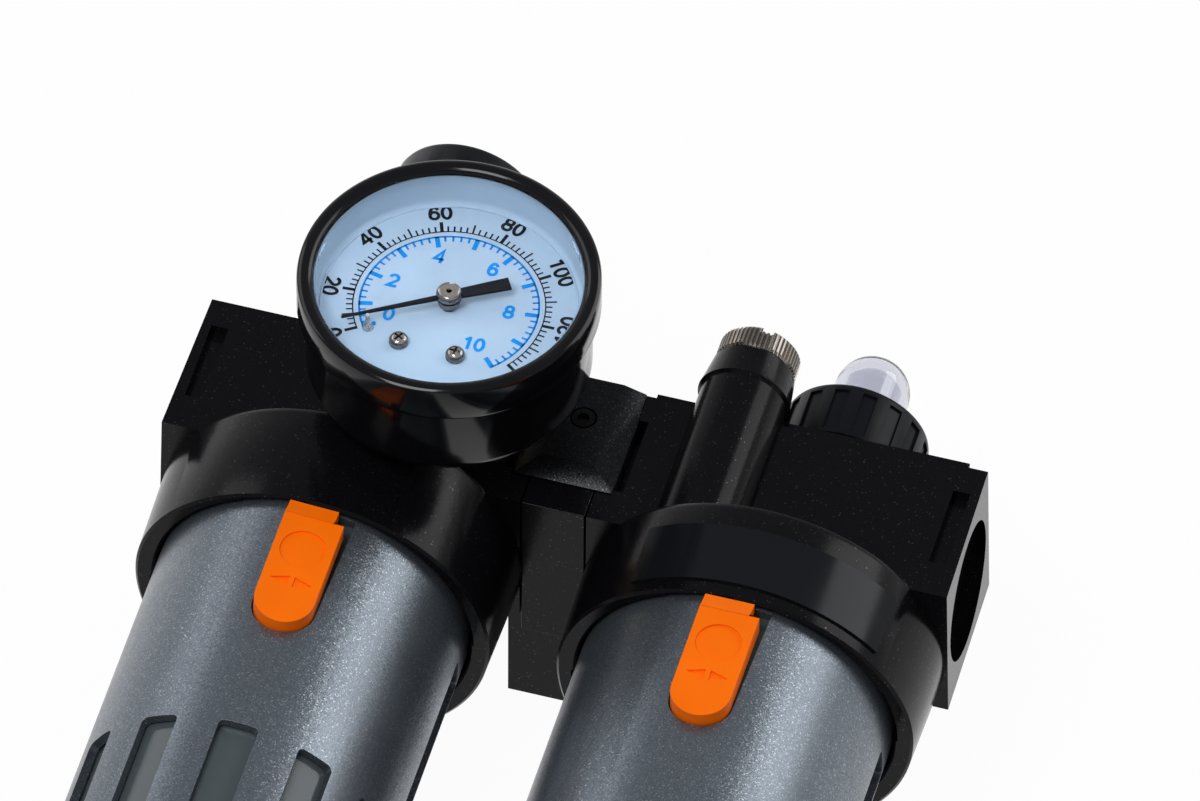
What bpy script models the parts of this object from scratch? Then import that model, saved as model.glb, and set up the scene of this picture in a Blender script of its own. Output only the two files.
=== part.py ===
"""Air preparation set: a filter regulator with its gauge, joined to a lubricator.

The origin lies on the wall behind the bracket, midway between the two units,
level with the ports. +X runs along the air flow, -Y is the front, +Z is up.
"""
import math

import bmesh
import bpy
from mathutils import Matrix, Vector

for old in list(bpy.data.objects):
    bpy.data.objects.remove(old, do_unlink=True)

mm = 0.001
CLEAR = 0.3 * mm

# Guard and bowl; the collars, the bodies and their pitch follow from them
GUARD_R = 28.2 * mm
GUARD_WALL = 1.6 * mm
GUARD_IN_R = GUARD_R - GUARD_WALL
GUARD_FLOOR_R = 15.0 * mm
GUARD_CORNER = 14.0 * mm
BOWL_R = GUARD_IN_R - 0.4 * mm
BOWL_WALL = 2.6 * mm
BOWL_IN_R = BOWL_R - BOWL_WALL
BOWL_CORNER = 20.0 * mm
BOWL_FLANGE_T = 2.5 * mm
BOWL_BOTTOM = 120.2 * mm
BOWL_SEAL_WIRE = 0.8 * mm

# Collar that takes the bowl, and its bayonet
LEDGE_R = GUARD_R + 0.5 * mm
COLLAR_BORE_R = LEDGE_R + CLEAR
GROOVE_R = LEDGE_R + 2.3 * mm
COLLAR_R = GROOVE_R + 1.7 * mm
COLLAR_RIM_R = COLLAR_R - 0.5 * mm
BOWL_FLANGE_R = COLLAR_BORE_R - 1.0 * mm
LUG_R = GROOVE_R - 0.4 * mm
LUG_COUNT = 4
LUG_ANGLE = math.radians(22)
LUG_HEIGHT = 3.0 * mm
LUG_START = math.radians(45)
BAYONET_TURN = math.radians(32)

# Bodies, side by side, held off the wall by the bracket
UNIT_HALF = COLLAR_R - 0.4 * mm
STEM_HALF = 5.7 * mm
HALF_PITCH = UNIT_HALF + CLEAR + STEM_HALF
AXIS_OUT = COLLAR_R + 4.3 * mm
BOX_TOP = 14.6 * mm
BOX_BOTTOM = BOX_TOP
BOX_FRONT = 18.3 * mm
BOX_REAR = 12.6 * mm
DRAFT_DOWN = 0.5 * mm
DRAFT_BACK = 0.8 * mm
BOX_ROUND = 0.9 * mm
COLLAR_TOP = BOX_BOTTOM - 2.0 * mm
CEILING = BOX_BOTTOM + 2.2 * mm
COLLAR_RIM = BOX_BOTTOM + 19.2 * mm
GROOVE_TOP = COLLAR_RIM - 10.0 * mm
LEDGE_TOP = COLLAR_RIM - 4.6 * mm
LUG_TOP = LEDGE_TOP - CLEAR - LUG_HEIGHT
GUARD_TOP = COLLAR_RIM - 12.0 * mm
GUARD_BOTTOM = BOWL_BOTTOM + 4.0 * mm
BOWL_TOP = GUARD_TOP - CLEAR - BOWL_FLANGE_T

# Ports and the joint between the units
PORT_RECESS_R = BOX_TOP - 2.0 * mm
PORT_RECESS_DEPTH = 2.6 * mm
PORT_R = 6.6 * mm
PORT_FORWARD = (BOX_FRONT - BOX_REAR) / 2
PORT_DEPTH = 15.0 * mm
PORT_FLOOR = UNIT_HALF - PORT_RECESS_DEPTH
JOINT_SEAL_IN_R = PORT_R + 0.5 * mm
JOINT_SEAL_R = JOINT_SEAL_IN_R + 2.3 * mm
JOINT_SEAL_T = 1.4 * mm
SLOT_EDGE = 1.6 * mm
SLOT_WIDTH = 3.1 * mm
SLOT_TOP = BOX_TOP - 5.7 * mm
SLOT_BOTTOM = BOX_BOTTOM - 7.0 * mm
SLOT_DEPTH = 3.6 * mm
INLET_WIDTH = 8.0 * mm
INLET_LENGTH = 5.5 * mm

# Bracket behind the joint and clamp in front of it
ARM_HALF = STEM_HALF + 3.0 * mm
ARM_STEP = 4.0 * mm
PLATE_T = 5.0 * mm
PLATE_HALF = 23.0 * mm
PLATE_LOW = BOX_TOP + 0.2 * mm
PLATE_TOP = PLATE_LOW + 24.0 * mm
WEB_HALF = 2.0 * mm
WALL_SLOT_X = 15.0 * mm
WALL_SLOT_R = 2.75 * mm
WALL_SLOT_LENGTH = 9.0 * mm
CLAMP_BASE_HALF = STEM_HALF + 3.1 * mm
CLAMP_FACE_HALF = CLAMP_BASE_HALF - 3.9 * mm
CLAMP_LOW = 8.6 * mm
CLAMP_FACE_LOW = CLAMP_LOW - 3.6 * mm
CLAMP_T = 2.2 * mm
CLAMP_LEG_T = 1.1 * mm
CLAMP_SCREW_Z = 4.8 * mm
CLAMP_HEAD_R = 2.1 * mm
CLAMP_HEAD_T = 1.1 * mm
CLAMP_HEX = 2.0 * mm
CLAMP_SHANK_R = 1.25 * mm
CLAMP_SHANK = 9.5 * mm

# Valve, piston, spring and knob of the regulator
VALVE_BORE_R = 9.6 * mm
SEAT_BOTTOM = -2.8 * mm
SEAT_TOP = SEAT_BOTTOM + 6.0 * mm
SEAT_R = 3.4 * mm
OUTLET_ROOM_R = 8.0 * mm
OUTLET_PASSAGE_R = 3.0 * mm
BONNET_SPIGOT_R = 15.0 * mm
BONNET_SEAT_DEPTH = 6.1 * mm
BONNET_SEAT = BOX_TOP - BONNET_SEAT_DEPTH
TOWER_R = BONNET_SPIGOT_R + 2.6 * mm
PISTON_R = BONNET_SPIGOT_R - 2.6 * mm
PISTON_T = 5.4 * mm
PISTON_GROOVE_DEPTH = 1.5 * mm
PISTON_RING_T = 1.6 * mm
BONNET_FLANGE_R = TOWER_R + 1.7 * mm
BONNET_FLANGE_T = 6.0 * mm
BONNET_ROOF_T = 3.4 * mm
BONNET_HEIGHT = 23.2 * mm
BONNET_SHOULDER = BOX_TOP + BONNET_HEIGHT
KNOB_R = BONNET_FLANGE_R - 3.7 * mm
KNOB_TOP_R = KNOB_R - 2.5 * mm
KNOB_HEIGHT = 28.5 * mm
KNOB_TOP = BONNET_SHOULDER + KNOB_HEIGHT
KNOB_BAND = 5.0 * mm
KNOB_WALL = 1.9 * mm
KNOB_FLUTES = 16
KNOB_FLUTE_WIDTH = 1.8 * mm
KNOB_FLUTE_DEPTH = 0.7 * mm
KNOB_LIFT = 3.0 * mm
KNOB_OVERLAP = 4.0 * mm
BONNET_NECK_R = KNOB_R - 3.2 * mm
BONNET_TOP = BONNET_SHOULDER + KNOB_LIFT + KNOB_OVERLAP
SPRING_ROOM_R = BONNET_NECK_R - 1.8 * mm
SCREW_R = 3.0 * mm
SCREW_HEX = 5.6 * mm
SCREW_COLLAR_R = 6.4 * mm
SCREW_COLLAR_T = 1.8 * mm
NUT_R = SPRING_ROOM_R - 0.5 * mm
NUT_T = 5.0 * mm
NUT_TRAVEL = 5.0 * mm
NUT_KEY_HALF = 1.4 * mm
NUT_KEY_PROUD = 1.2 * mm
SPRING_R = NUT_R - 2.5 * mm
SPRING_WIRE = 1.0 * mm
STEM_R = 1.7 * mm
VALVE_HEAD_R = 5.4 * mm
VALVE_HEAD_T = 2.6 * mm
VALVE_TRAVEL = 1.2 * mm
VALVE_SPRING_R = 3.4 * mm
VALVE_SPRING_WIRE = 0.45 * mm
VALVE_SPRING_ROOM = 7.0 * mm
PISTON_BOTTOM = BONNET_SEAT + VALVE_TRAVEL + CLEAR

# Filter inside its bowl, and the drain
ELEMENT_R = BOWL_IN_R * 0.55
ELEMENT_BORE_R = ELEMENT_R - 3.6 * mm
ELEMENT_TOP = CEILING + 17.9 * mm
ELEMENT_BOTTOM = ELEMENT_TOP + 29.5 * mm
CARRIER_TUBE_R = ELEMENT_BORE_R - 2.4 * mm
CARRIER_TAIL = 8.0 * mm
CARRIER_WINDOW_STEP = 8.5 * mm
VANE_R = BOWL_IN_R - 3.1 * mm
VANE_HUB_R = ELEMENT_R - 2.0 * mm
VANE_COUNT = 12
VANE_DROP = 8.0 * mm
VANE_LEAN = math.radians(24)
VANE_PLATE_T = 1.6 * mm
BAFFLE_R = VANE_R - 1.5 * mm
BAFFLE_T = 2.0 * mm
BAFFLE_DROP = 3.0 * mm
BAFFLE_HUB_T = 7.0 * mm
DRAIN_NECK_R = 6.6 * mm
DRAIN_NECK_BOTTOM = GUARD_BOTTOM + 7.0 * mm
DRAIN_BORE_R = 2.6 * mm
DRAIN_KNOB_R = 8.2 * mm
DRAIN_KNOB_T = 8.0 * mm

# Windows of the guard and the lock button
WINDOW_COUNT = 12
WINDOW_WIDTH = 7.1 * mm
WINDOW_BOTTOM = GUARD_BOTTOM - GUARD_CORNER
WINDOW_TOP = WINDOW_BOTTOM - 27.4 * mm
SIDE_SLOT_TOP = COLLAR_RIM + 5.0 * mm
BUTTON_HALF = 5.4 * mm
BUTTON_TAB_EDGE = BUTTON_HALF - 1.8 * mm
BUTTON_TOP = COLLAR_RIM + 1.3 * mm
BUTTON_STEP = BUTTON_TOP + 1.8 * mm
BUTTON_TIP = BUTTON_TOP + 27.5 * mm
BUTTON_PROUD = 1.2 * mm
BUTTON_TRAVEL = 1.0 * mm

# Pressure gauge, 50 mm class, on the front of the regulator
GAUGE_X = 15.3 * mm
GAUGE_BACK = COLLAR_R + 0.85 * mm
GAUGE_DEPTH = 24.2 * mm
GAUGE_CASE_R = 25.0 * mm
GAUGE_CASE_LENGTH = GAUGE_DEPTH - 4.5 * mm
GAUGE_CASE_WALL = 1.2 * mm
GAUGE_BEZEL_R = GAUGE_CASE_R + 1.5 * mm
GAUGE_WINDOW_R = GAUGE_CASE_R - 1.5 * mm
GAUGE_SKIRT = 7.6 * mm
GAUGE_LIP_T = 2.1 * mm
LENS_T = 1.8 * mm
DIAL_R = GAUGE_CASE_R - GAUGE_CASE_WALL - 0.5 * mm
DIAL_T = 0.8 * mm
DIAL_FRONT = GAUGE_CASE_LENGTH - 4.1 * mm
DIAL_SCREW_R = 1.9 * mm
DIAL_SCREW_T = 1.0 * mm
STOP_PIN_R = DIAL_R - 8.4 * mm
STOP_PIN_HALF = 0.6 * mm
POINTER_FRONT = DIAL_FRONT + 3.0 * mm
POINTER_T = 0.5 * mm
POINTER_LENGTH = DIAL_R - 4.1 * mm
POINTER_TAIL = POINTER_LENGTH / 2
POINTER_HALF = 0.9 * mm
POINTER_TIP_HALF = 0.15 * mm
POINTER_TAIL_HALF = 1.9 * mm
POINTER_HUB_R = 2.2 * mm
POINTER_HUB_T = 1.0 * mm
POINTER_ZERO = math.radians(210.5)
GAUGE_HEX = 14.0 * mm
GAUGE_THREAD_R = 4.8 * mm
GAUGE_THREAD_DEPTH = 9.0 * mm
GAUGE_SHANK_R = 5.8 * mm
GAUGE_PAD_R = 9.0 * mm
GAUGE_PAD_T = 1.4 * mm
BOURDON_R = GAUGE_CASE_R * 0.64
BOURDON_TUBE_R = 1.5 * mm
MOVEMENT_LOW = 3.0 * mm
MOVEMENT_TOP = DIAL_FRONT - 3.6 * mm
DIAL_SCREW_X = BOURDON_R * 0.32
DIAL_SCREW_Z = BOURDON_R * 0.6125

# Filler boss, sight dome and siphon of the lubricator
FILLER_X = 13.0 * mm
FILLER_BORE_R = 4.6 * mm
FILLER_SEAL_R = FILLER_BORE_R + 1.8 * mm
FILLER_SEAL_T = 1.2 * mm
FILLER_BOSS_R = FILLER_SEAL_R + 2.0 * mm
FILLER_BOSS_TOP_R = FILLER_BOSS_R - 0.9 * mm
FILLER_BOSS_SHOULDER = BOX_TOP + 3.8 * mm
FILLER_BOSS_TOP = BOX_TOP + 10.3 * mm
PLUG_R = FILLER_BOSS_R - 1.1 * mm
PLUG_HEAD_T = 4.7 * mm
PLUG_HOLD = 3.0 * mm
PLUG_SLOT_WIDTH = 2.0 * mm
PLUG_SLOT_DEPTH = 1.3 * mm
PLUG_LIFT = 6.0 * mm
DOME_X = 4.4 * mm
DOME_R = 6.8 * mm
DOME_WALL = 1.5 * mm
DOME_PAD_TOP = BOX_TOP + 2.8 * mm
DOME_PAD_EDGE = 4.0 * mm
DOME_SHOULDER = DOME_PAD_TOP + 22.7 * mm
DOME_SEAT = DOME_PAD_TOP - 4.0 * mm
DOME_FLANGE_R = DOME_R + 1.8 * mm
DOME_FLANGE_T = 2.2 * mm
DOME_SEAL_WIRE = 0.6 * mm
RING_R = DOME_R + 6.3 * mm
RING_TOP = DOME_PAD_TOP + 14.1 * mm
RING_NOTCHES = 16
RING_NOTCH_WIDTH = 2.6 * mm
RING_NOTCH_DEPTH = 1.0 * mm
DOME_PAD_R = RING_R + 1.5 * mm
DRIP_R = 2.2 * mm
DRIP_BORE_R = 1.1 * mm
DRIP_TOP = DOME_PAD_TOP + 11.4 * mm
CROSS_R = 4.6 * mm
SIPHON_FORWARD = 10.0 * mm
SIPHON_R = 2.5 * mm
SIPHON_BORE_R = 1.4 * mm
SIPHON_TOP = 4.0 * mm
SIPHON_BOTTOM = BOWL_BOTTOM - 18.0 * mm
STRAINER_R = 5.0 * mm
STRAINER_T = 9.0 * mm

REGULATOR = Vector((-HALF_PITCH, -AXIS_OUT, 0.0))
LUBRICATOR = Vector((HALF_PITCH, -AXIS_OUT, 0.0))
GAUGE = REGULATOR + Vector((GAUGE_X, -GAUGE_BACK, 0.0))
FACE_FRONT = (math.radians(90), 0, 0)


def material(name, color, roughness, metallic=0.0, alpha=1.0):
    mat = bpy.data.materials.new(name)
    mat.use_nodes = True
    shader = mat.node_tree.nodes["Principled BSDF"]
    shader.inputs["Base Color"].default_value = (*color, 1.0)
    shader.inputs["Roughness"].default_value = roughness
    shader.inputs["Metallic"].default_value = metallic
    shader.inputs["Alpha"].default_value = alpha
    mat.diffuse_color = (*color, alpha)
    return mat


CASTING = material("black_painted_casting", (0.012, 0.012, 0.014), 0.45)
GUARD_PAINT = material("silver_grey_paint", (0.30, 0.31, 0.32), 0.4, 0.6)
CLEAR_BOWL = material("clear_bowl", (0.75, 0.78, 0.80), 0.05, 0.0, 0.35)
CLEAR_DOME = material("clear_dome", (0.85, 0.86, 0.90), 0.04, 0.0, 0.30)
ORANGE = material("orange_plastic", (0.80, 0.22, 0.03), 0.4)
BLACK_PLASTIC = material("black_plastic", (0.015, 0.015, 0.017), 0.4)
BEZEL = material("black_steel", (0.018, 0.018, 0.020), 0.3, 0.3)
DIAL_FACE = material("dial_white", (0.72, 0.80, 0.86), 0.6)
STEEL = material("steel", (0.55, 0.54, 0.52), 0.3, 1.0)
BRASS = material("brass", (0.60, 0.43, 0.17), 0.35, 1.0)
RUBBER = material("rubber", (0.02, 0.02, 0.02), 0.8)
SINTERED = material("sintered_filter", (0.80, 0.80, 0.76), 0.9)
NATURAL_PLASTIC = material("natural_plastic", (0.70, 0.70, 0.66), 0.5)


def place(name, bm, mat, location=(0, 0, 0), rotation=(0, 0, 0)):
    """Turn a bmesh into a named object with outward faces."""
    bmesh.ops.recalc_face_normals(bm, faces=bm.faces)
    mesh = bpy.data.meshes.new(name)
    bm.to_mesh(mesh)
    bm.free()
    mesh.shade_smooth()
    mesh.set_sharp_from_angle(angle=math.radians(32))
    obj = bpy.data.objects.new(name, mesh)
    obj.location = location
    obj.rotation_euler = rotation
    if mat:
        mesh.materials.append(mat)
    bpy.context.scene.collection.objects.link(obj)
    return obj


def combine(obj, bm, operation, location=None, rotation=(0, 0, 0)):
    """Add a hidden tool body to an object, to cut it, join it or trim it."""
    tool = place(obj.name + ".tool", bm, None, obj.location if location is None else location, rotation)
    tool.hide_render = True
    tool.display_type = 'WIRE'
    modifier = obj.modifiers.new(operation.lower(), 'BOOLEAN')
    modifier.operation = operation
    modifier.solver = 'EXACT'
    modifier.object = tool
    return tool


def lathe(profile, steps=32, bm=None, center=(0, 0)):
    """Revolve (radius, height) points; a profile that starts on the axis also ends there."""
    bm = bm or bmesh.new()
    verts = [bm.verts.new((center[0] + r, center[1], z)) for r, z in profile]
    edges = [bm.edges.new(pair) for pair in zip(verts, verts[1:])]
    if profile[0][0] > 0:
        edges.append(bm.edges.new((verts[-1], verts[0])))
    bmesh.ops.spin(bm, geom=verts + edges, cent=(*center, 0), axis=(0, 0, 1),
                   angle=math.tau, steps=steps, use_merge=True)
    bmesh.ops.remove_doubles(bm, verts=bm.verts, dist=1e-6)
    bmesh.ops.recalc_face_normals(bm, faces=bm.faces)
    return bm


def rod(radius, low, high, steps=20, bm=None, center=(0, 0)):
    return lathe([(0, high), (radius, high), (radius, low), (0, low)], steps, bm, center)


def tube(outer, inner, low, high, steps=24):
    return lathe([(outer, high), (outer, low), (inner, low), (inner, high)], steps)


def block(low, high, rounding=0.0, bm=None, only=None, segments=2):
    """Make a box between two corners; only picks the edges to round by direction."""
    bm = bm or bmesh.new()
    size = [h - l for l, h in zip(low, high)]
    middle = [(h + l) / 2 for l, h in zip(low, high)]
    matrix = Matrix.Translation(middle) @ Matrix.Diagonal((*size, 1))
    made = bmesh.ops.create_cube(bm, size=1, matrix=matrix)["verts"]
    if rounding:
        edges = {e for v in made for e in v.link_edges}
        if only is not None:
            edges = {e for e in edges if abs((e.verts[0].co - e.verts[1].co)[only]) > 1e-6}
        bmesh.ops.bevel(bm, geom=list(edges), offset=rounding, segments=segments, affect='EDGES', profile=0.5)
    return bm


def prism(outline, low, high, bm=None):
    """Extrude an (x, y) outline from one height to another."""
    bm = bm or bmesh.new()
    face = bm.faces.new([bm.verts.new((x, y, low)) for x, y in outline])
    top = bmesh.ops.extrude_face_region(bm, geom=[face])["geom"]
    bmesh.ops.translate(bm, vec=(0, 0, high - low),
                        verts=[v for v in top if isinstance(v, bmesh.types.BMVert)])
    bmesh.ops.recalc_face_normals(bm, faces=bm.faces)
    return bm


def polygon(count, across_flats):
    radius = across_flats / 2 / math.cos(math.pi / count)
    return [(radius * math.cos(math.tau * k / count), radius * math.sin(math.tau * k / count))
            for k in range(count)]


def sector(inner, outer, middle, width, low, high, bm=None, parts=5):
    """Make a piece of a ring, centred on an angle seen from above."""
    angles = [middle + width * (k / parts - 0.5) for k in range(parts + 1)]
    arc = [(outer * math.cos(a), outer * math.sin(a)) for a in angles]
    back = [(inner * math.cos(a), inner * math.sin(a)) for a in reversed(angles)]
    return prism(arc + back, low, high, bm)


def along(bm, rotation, shift=(0, 0, 0)):
    """Turn and move all of a bmesh in place."""
    matrix = Matrix.Translation(shift) @ rotation
    bmesh.ops.transform(bm, matrix=matrix, verts=bm.verts)
    return bm


def ring_of(bm, count, start=0.0):
    """Repeat all of a bmesh around the upright axis."""
    bmesh.ops.rotate(bm, cent=(0, 0, 0), matrix=Matrix.Rotation(start, 3, 'Z'), verts=bm.verts)
    first = list(bm.verts) + list(bm.edges) + list(bm.faces)
    for k in range(1, count):
        copy = bmesh.ops.duplicate(bm, geom=first)["geom"]
        verts = [item for item in copy if isinstance(item, bmesh.types.BMVert)]
        bmesh.ops.rotate(bm, cent=(0, 0, 0), matrix=Matrix.Rotation(math.tau * k / count, 3, 'Z'),
                         verts=verts)
    return bm


TO_X = Matrix.Rotation(math.radians(90), 4, 'Y')
TO_FRONT = Matrix.Rotation(math.radians(90), 4, 'X')


def torus(ring, wire, steps=24, sides=4):
    profile = [(ring + wire * math.cos(a), -wire * math.sin(a))
               for a in (math.tau * k / sides for k in range(sides))]
    return lathe(profile, steps)


def coil(name, mat, radius, wire, low, high, turns, location):
    """Wind a compression spring with closed, flat-lying end turns."""
    curve = bpy.data.curves.new(name, 'CURVE')
    curve.dimensions = '3D'
    curve.bevel_depth = wire
    curve.bevel_resolution = 0
    curve.use_fill_caps = True
    spline = curve.splines.new('POLY')
    steps = int(turns * 10)
    spline.points.add(steps)
    for k, point in enumerate(spline.points):
        t = k / steps
        rise = t + 0.06 * math.sin(math.tau * t) * -1
        angle = math.tau * turns * t
        z = low + wire + (high - low - 2 * wire) * rise
        point.co = (radius * math.cos(angle), radius * math.sin(angle), z, 1)
    curve.materials.append(mat)
    obj = bpy.data.objects.new(name, curve)
    obj.location = location
    bpy.context.scene.collection.objects.link(obj)
    return obj


def unit_casting(name, side, location, tower_r=0.0):
    """Cast one body: a drafted box over a round collar with a bayonet inside and any tower for a bonnet."""
    bm = block((-UNIT_HALF, -BOX_FRONT, -BOX_BOTTOM), (UNIT_HALF, BOX_REAR, BOX_TOP))
    for vert in bm.verts:
        if vert.co.x * side > 0:
            down = DRAFT_DOWN if vert.co.z < 0 else 0
            back = DRAFT_BACK if vert.co.y > 0 else 0
            vert.co.x += side * (down + back)
    bmesh.ops.bevel(bm, geom=list(bm.edges), offset=BOX_ROUND, segments=1, affect='EDGES', profile=0.5)
    body = place(name, bm, CASTING, location)

    collar = lathe([
        (0, -COLLAR_TOP), (UNIT_HALF - 1.6 * mm, -COLLAR_TOP), (COLLAR_R - 0.5 * mm, -COLLAR_TOP - 0.8 * mm),
        (COLLAR_R, -BOX_BOTTOM), (COLLAR_RIM_R, -COLLAR_RIM + 0.5 * mm),
        (COLLAR_RIM_R - 0.5 * mm, -COLLAR_RIM), (LEDGE_R + 0.5 * mm, -COLLAR_RIM),
        (LEDGE_R, -COLLAR_RIM + 0.5 * mm), (LEDGE_R, -LEDGE_TOP), (GROOVE_R, -LEDGE_TOP),
        (GROOVE_R, -GROOVE_TOP), (COLLAR_BORE_R, -GROOVE_TOP), (COLLAR_BORE_R, -CEILING), (0, -CEILING)], 36)
    combine(body, collar, 'UNION')
    if tower_r:
        combine(body, rod(tower_r, -COLLAR_TOP, BOX_TOP, 32), 'UNION')

    entry = sector(LEDGE_R - 1 * mm, GROOVE_R, LUG_START + BAYONET_TURN, LUG_ANGLE + math.radians(3),
                   -COLLAR_RIM - 1 * mm, -LEDGE_TOP + 0.5 * mm, None, 2)
    entries = ring_of(entry, LUG_COUNT)
    combine(body, entries, 'DIFFERENCE')

    # Round port recess and bore on the free end, seal recess and bore on the joint end
    free_end = TO_X if side > 0 else TO_X.inverted()
    joint_end = TO_X.inverted() if side > 0 else TO_X
    port = lathe([(0, UNIT_HALF + 4 * mm), (PORT_RECESS_R, UNIT_HALF + 4 * mm), (PORT_RECESS_R, PORT_FLOOR),
                  (PORT_R, PORT_FLOOR), (PORT_R, PORT_FLOOR - PORT_DEPTH), (0, PORT_FLOOR - PORT_DEPTH)], 24)
    combine(body, along(port, free_end, (0, -PORT_FORWARD, 0)), 'DIFFERENCE')
    seal_floor = UNIT_HALF - JOINT_SEAL_T - CLEAR
    seat_r = JOINT_SEAL_R + 0.1 * mm
    joint = lathe([(0, UNIT_HALF + mm), (seat_r, UNIT_HALF + mm), (seat_r, seal_floor), (PORT_R, seal_floor),
                   (PORT_R, UNIT_HALF - PORT_DEPTH), (0, UNIT_HALF - PORT_DEPTH)], 16)
    combine(body, along(joint, joint_end, (0, -PORT_FORWARD, 0)), 'DIFFERENCE')

    slots = bmesh.new()
    for end in (-1, 1):
        near, far = sorted((end * (UNIT_HALF - SLOT_EDGE), end * (UNIT_HALF - SLOT_EDGE - SLOT_WIDTH)))
        for face, sign in ((-BOX_FRONT, -1), (BOX_REAR, 1)):
            shallow, deep = sorted((face + sign * mm, face - sign * SLOT_DEPTH))
            block((near, shallow, -SLOT_BOTTOM), (far, deep, SLOT_TOP), 0, slots)
    combine(body, slots, 'DIFFERENCE')
    return body


def regulator_body():
    body = unit_casting("regulator_body", -1, REGULATOR, TOWER_R)
    pad = along(rod(GAUGE_PAD_R, BOX_FRONT - 2 * mm, BOX_FRONT + GAUGE_PAD_T), TO_FRONT, (GAUGE_X, 0, 0))
    combine(body, pad, 'UNION')
    gauge_port = rod(GAUGE_THREAD_R + CLEAR, BOX_FRONT - GAUGE_THREAD_DEPTH - 1 * mm,
                     BOX_FRONT + GAUGE_PAD_T + 1 * mm, 24)
    along(gauge_port, TO_FRONT, (GAUGE_X, 0, 0))
    combine(body, gauge_port, 'DIFFERENCE')

    # Valve bore from below, seat, outlet room and the recess that takes the bonnet
    passage = lathe([
        (0, BOX_TOP + 1 * mm), (BONNET_SPIGOT_R + CLEAR, BOX_TOP + 1 * mm),
        (BONNET_SPIGOT_R + CLEAR, BONNET_SEAT), (OUTLET_ROOM_R, BONNET_SEAT), (OUTLET_ROOM_R, SEAT_TOP),
        (SEAT_R, SEAT_TOP), (SEAT_R, SEAT_BOTTOM + 0.6 * mm), (SEAT_R + 0.8 * mm, SEAT_BOTTOM),
        (VALVE_BORE_R, SEAT_BOTTOM), (VALVE_BORE_R, -CEILING - 1 * mm), (0, -CEILING - 1 * mm)], 20)
    combine(body, passage, 'DIFFERENCE')
    outlet = rod(OUTLET_PASSAGE_R, 0, UNIT_HALF - PORT_DEPTH + 2 * mm, 20)
    along(outlet, TO_X, (0, 0, (BONNET_SEAT + SEAT_TOP) / 2 - 0.45 * mm))
    combine(body, outlet, 'DIFFERENCE')

    # The inlet drops from its port to the outside of the filter
    inlet_end = PORT_FLOOR - PORT_DEPTH
    inlet = block((-inlet_end - INLET_LENGTH - 0.5 * mm, -INLET_WIDTH / 2, -CEILING - 1 * mm),
                  (-inlet_end - 0.5 * mm, INLET_WIDTH / 2, -1 * mm))
    combine(body, inlet, 'DIFFERENCE')
    return body


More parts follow.
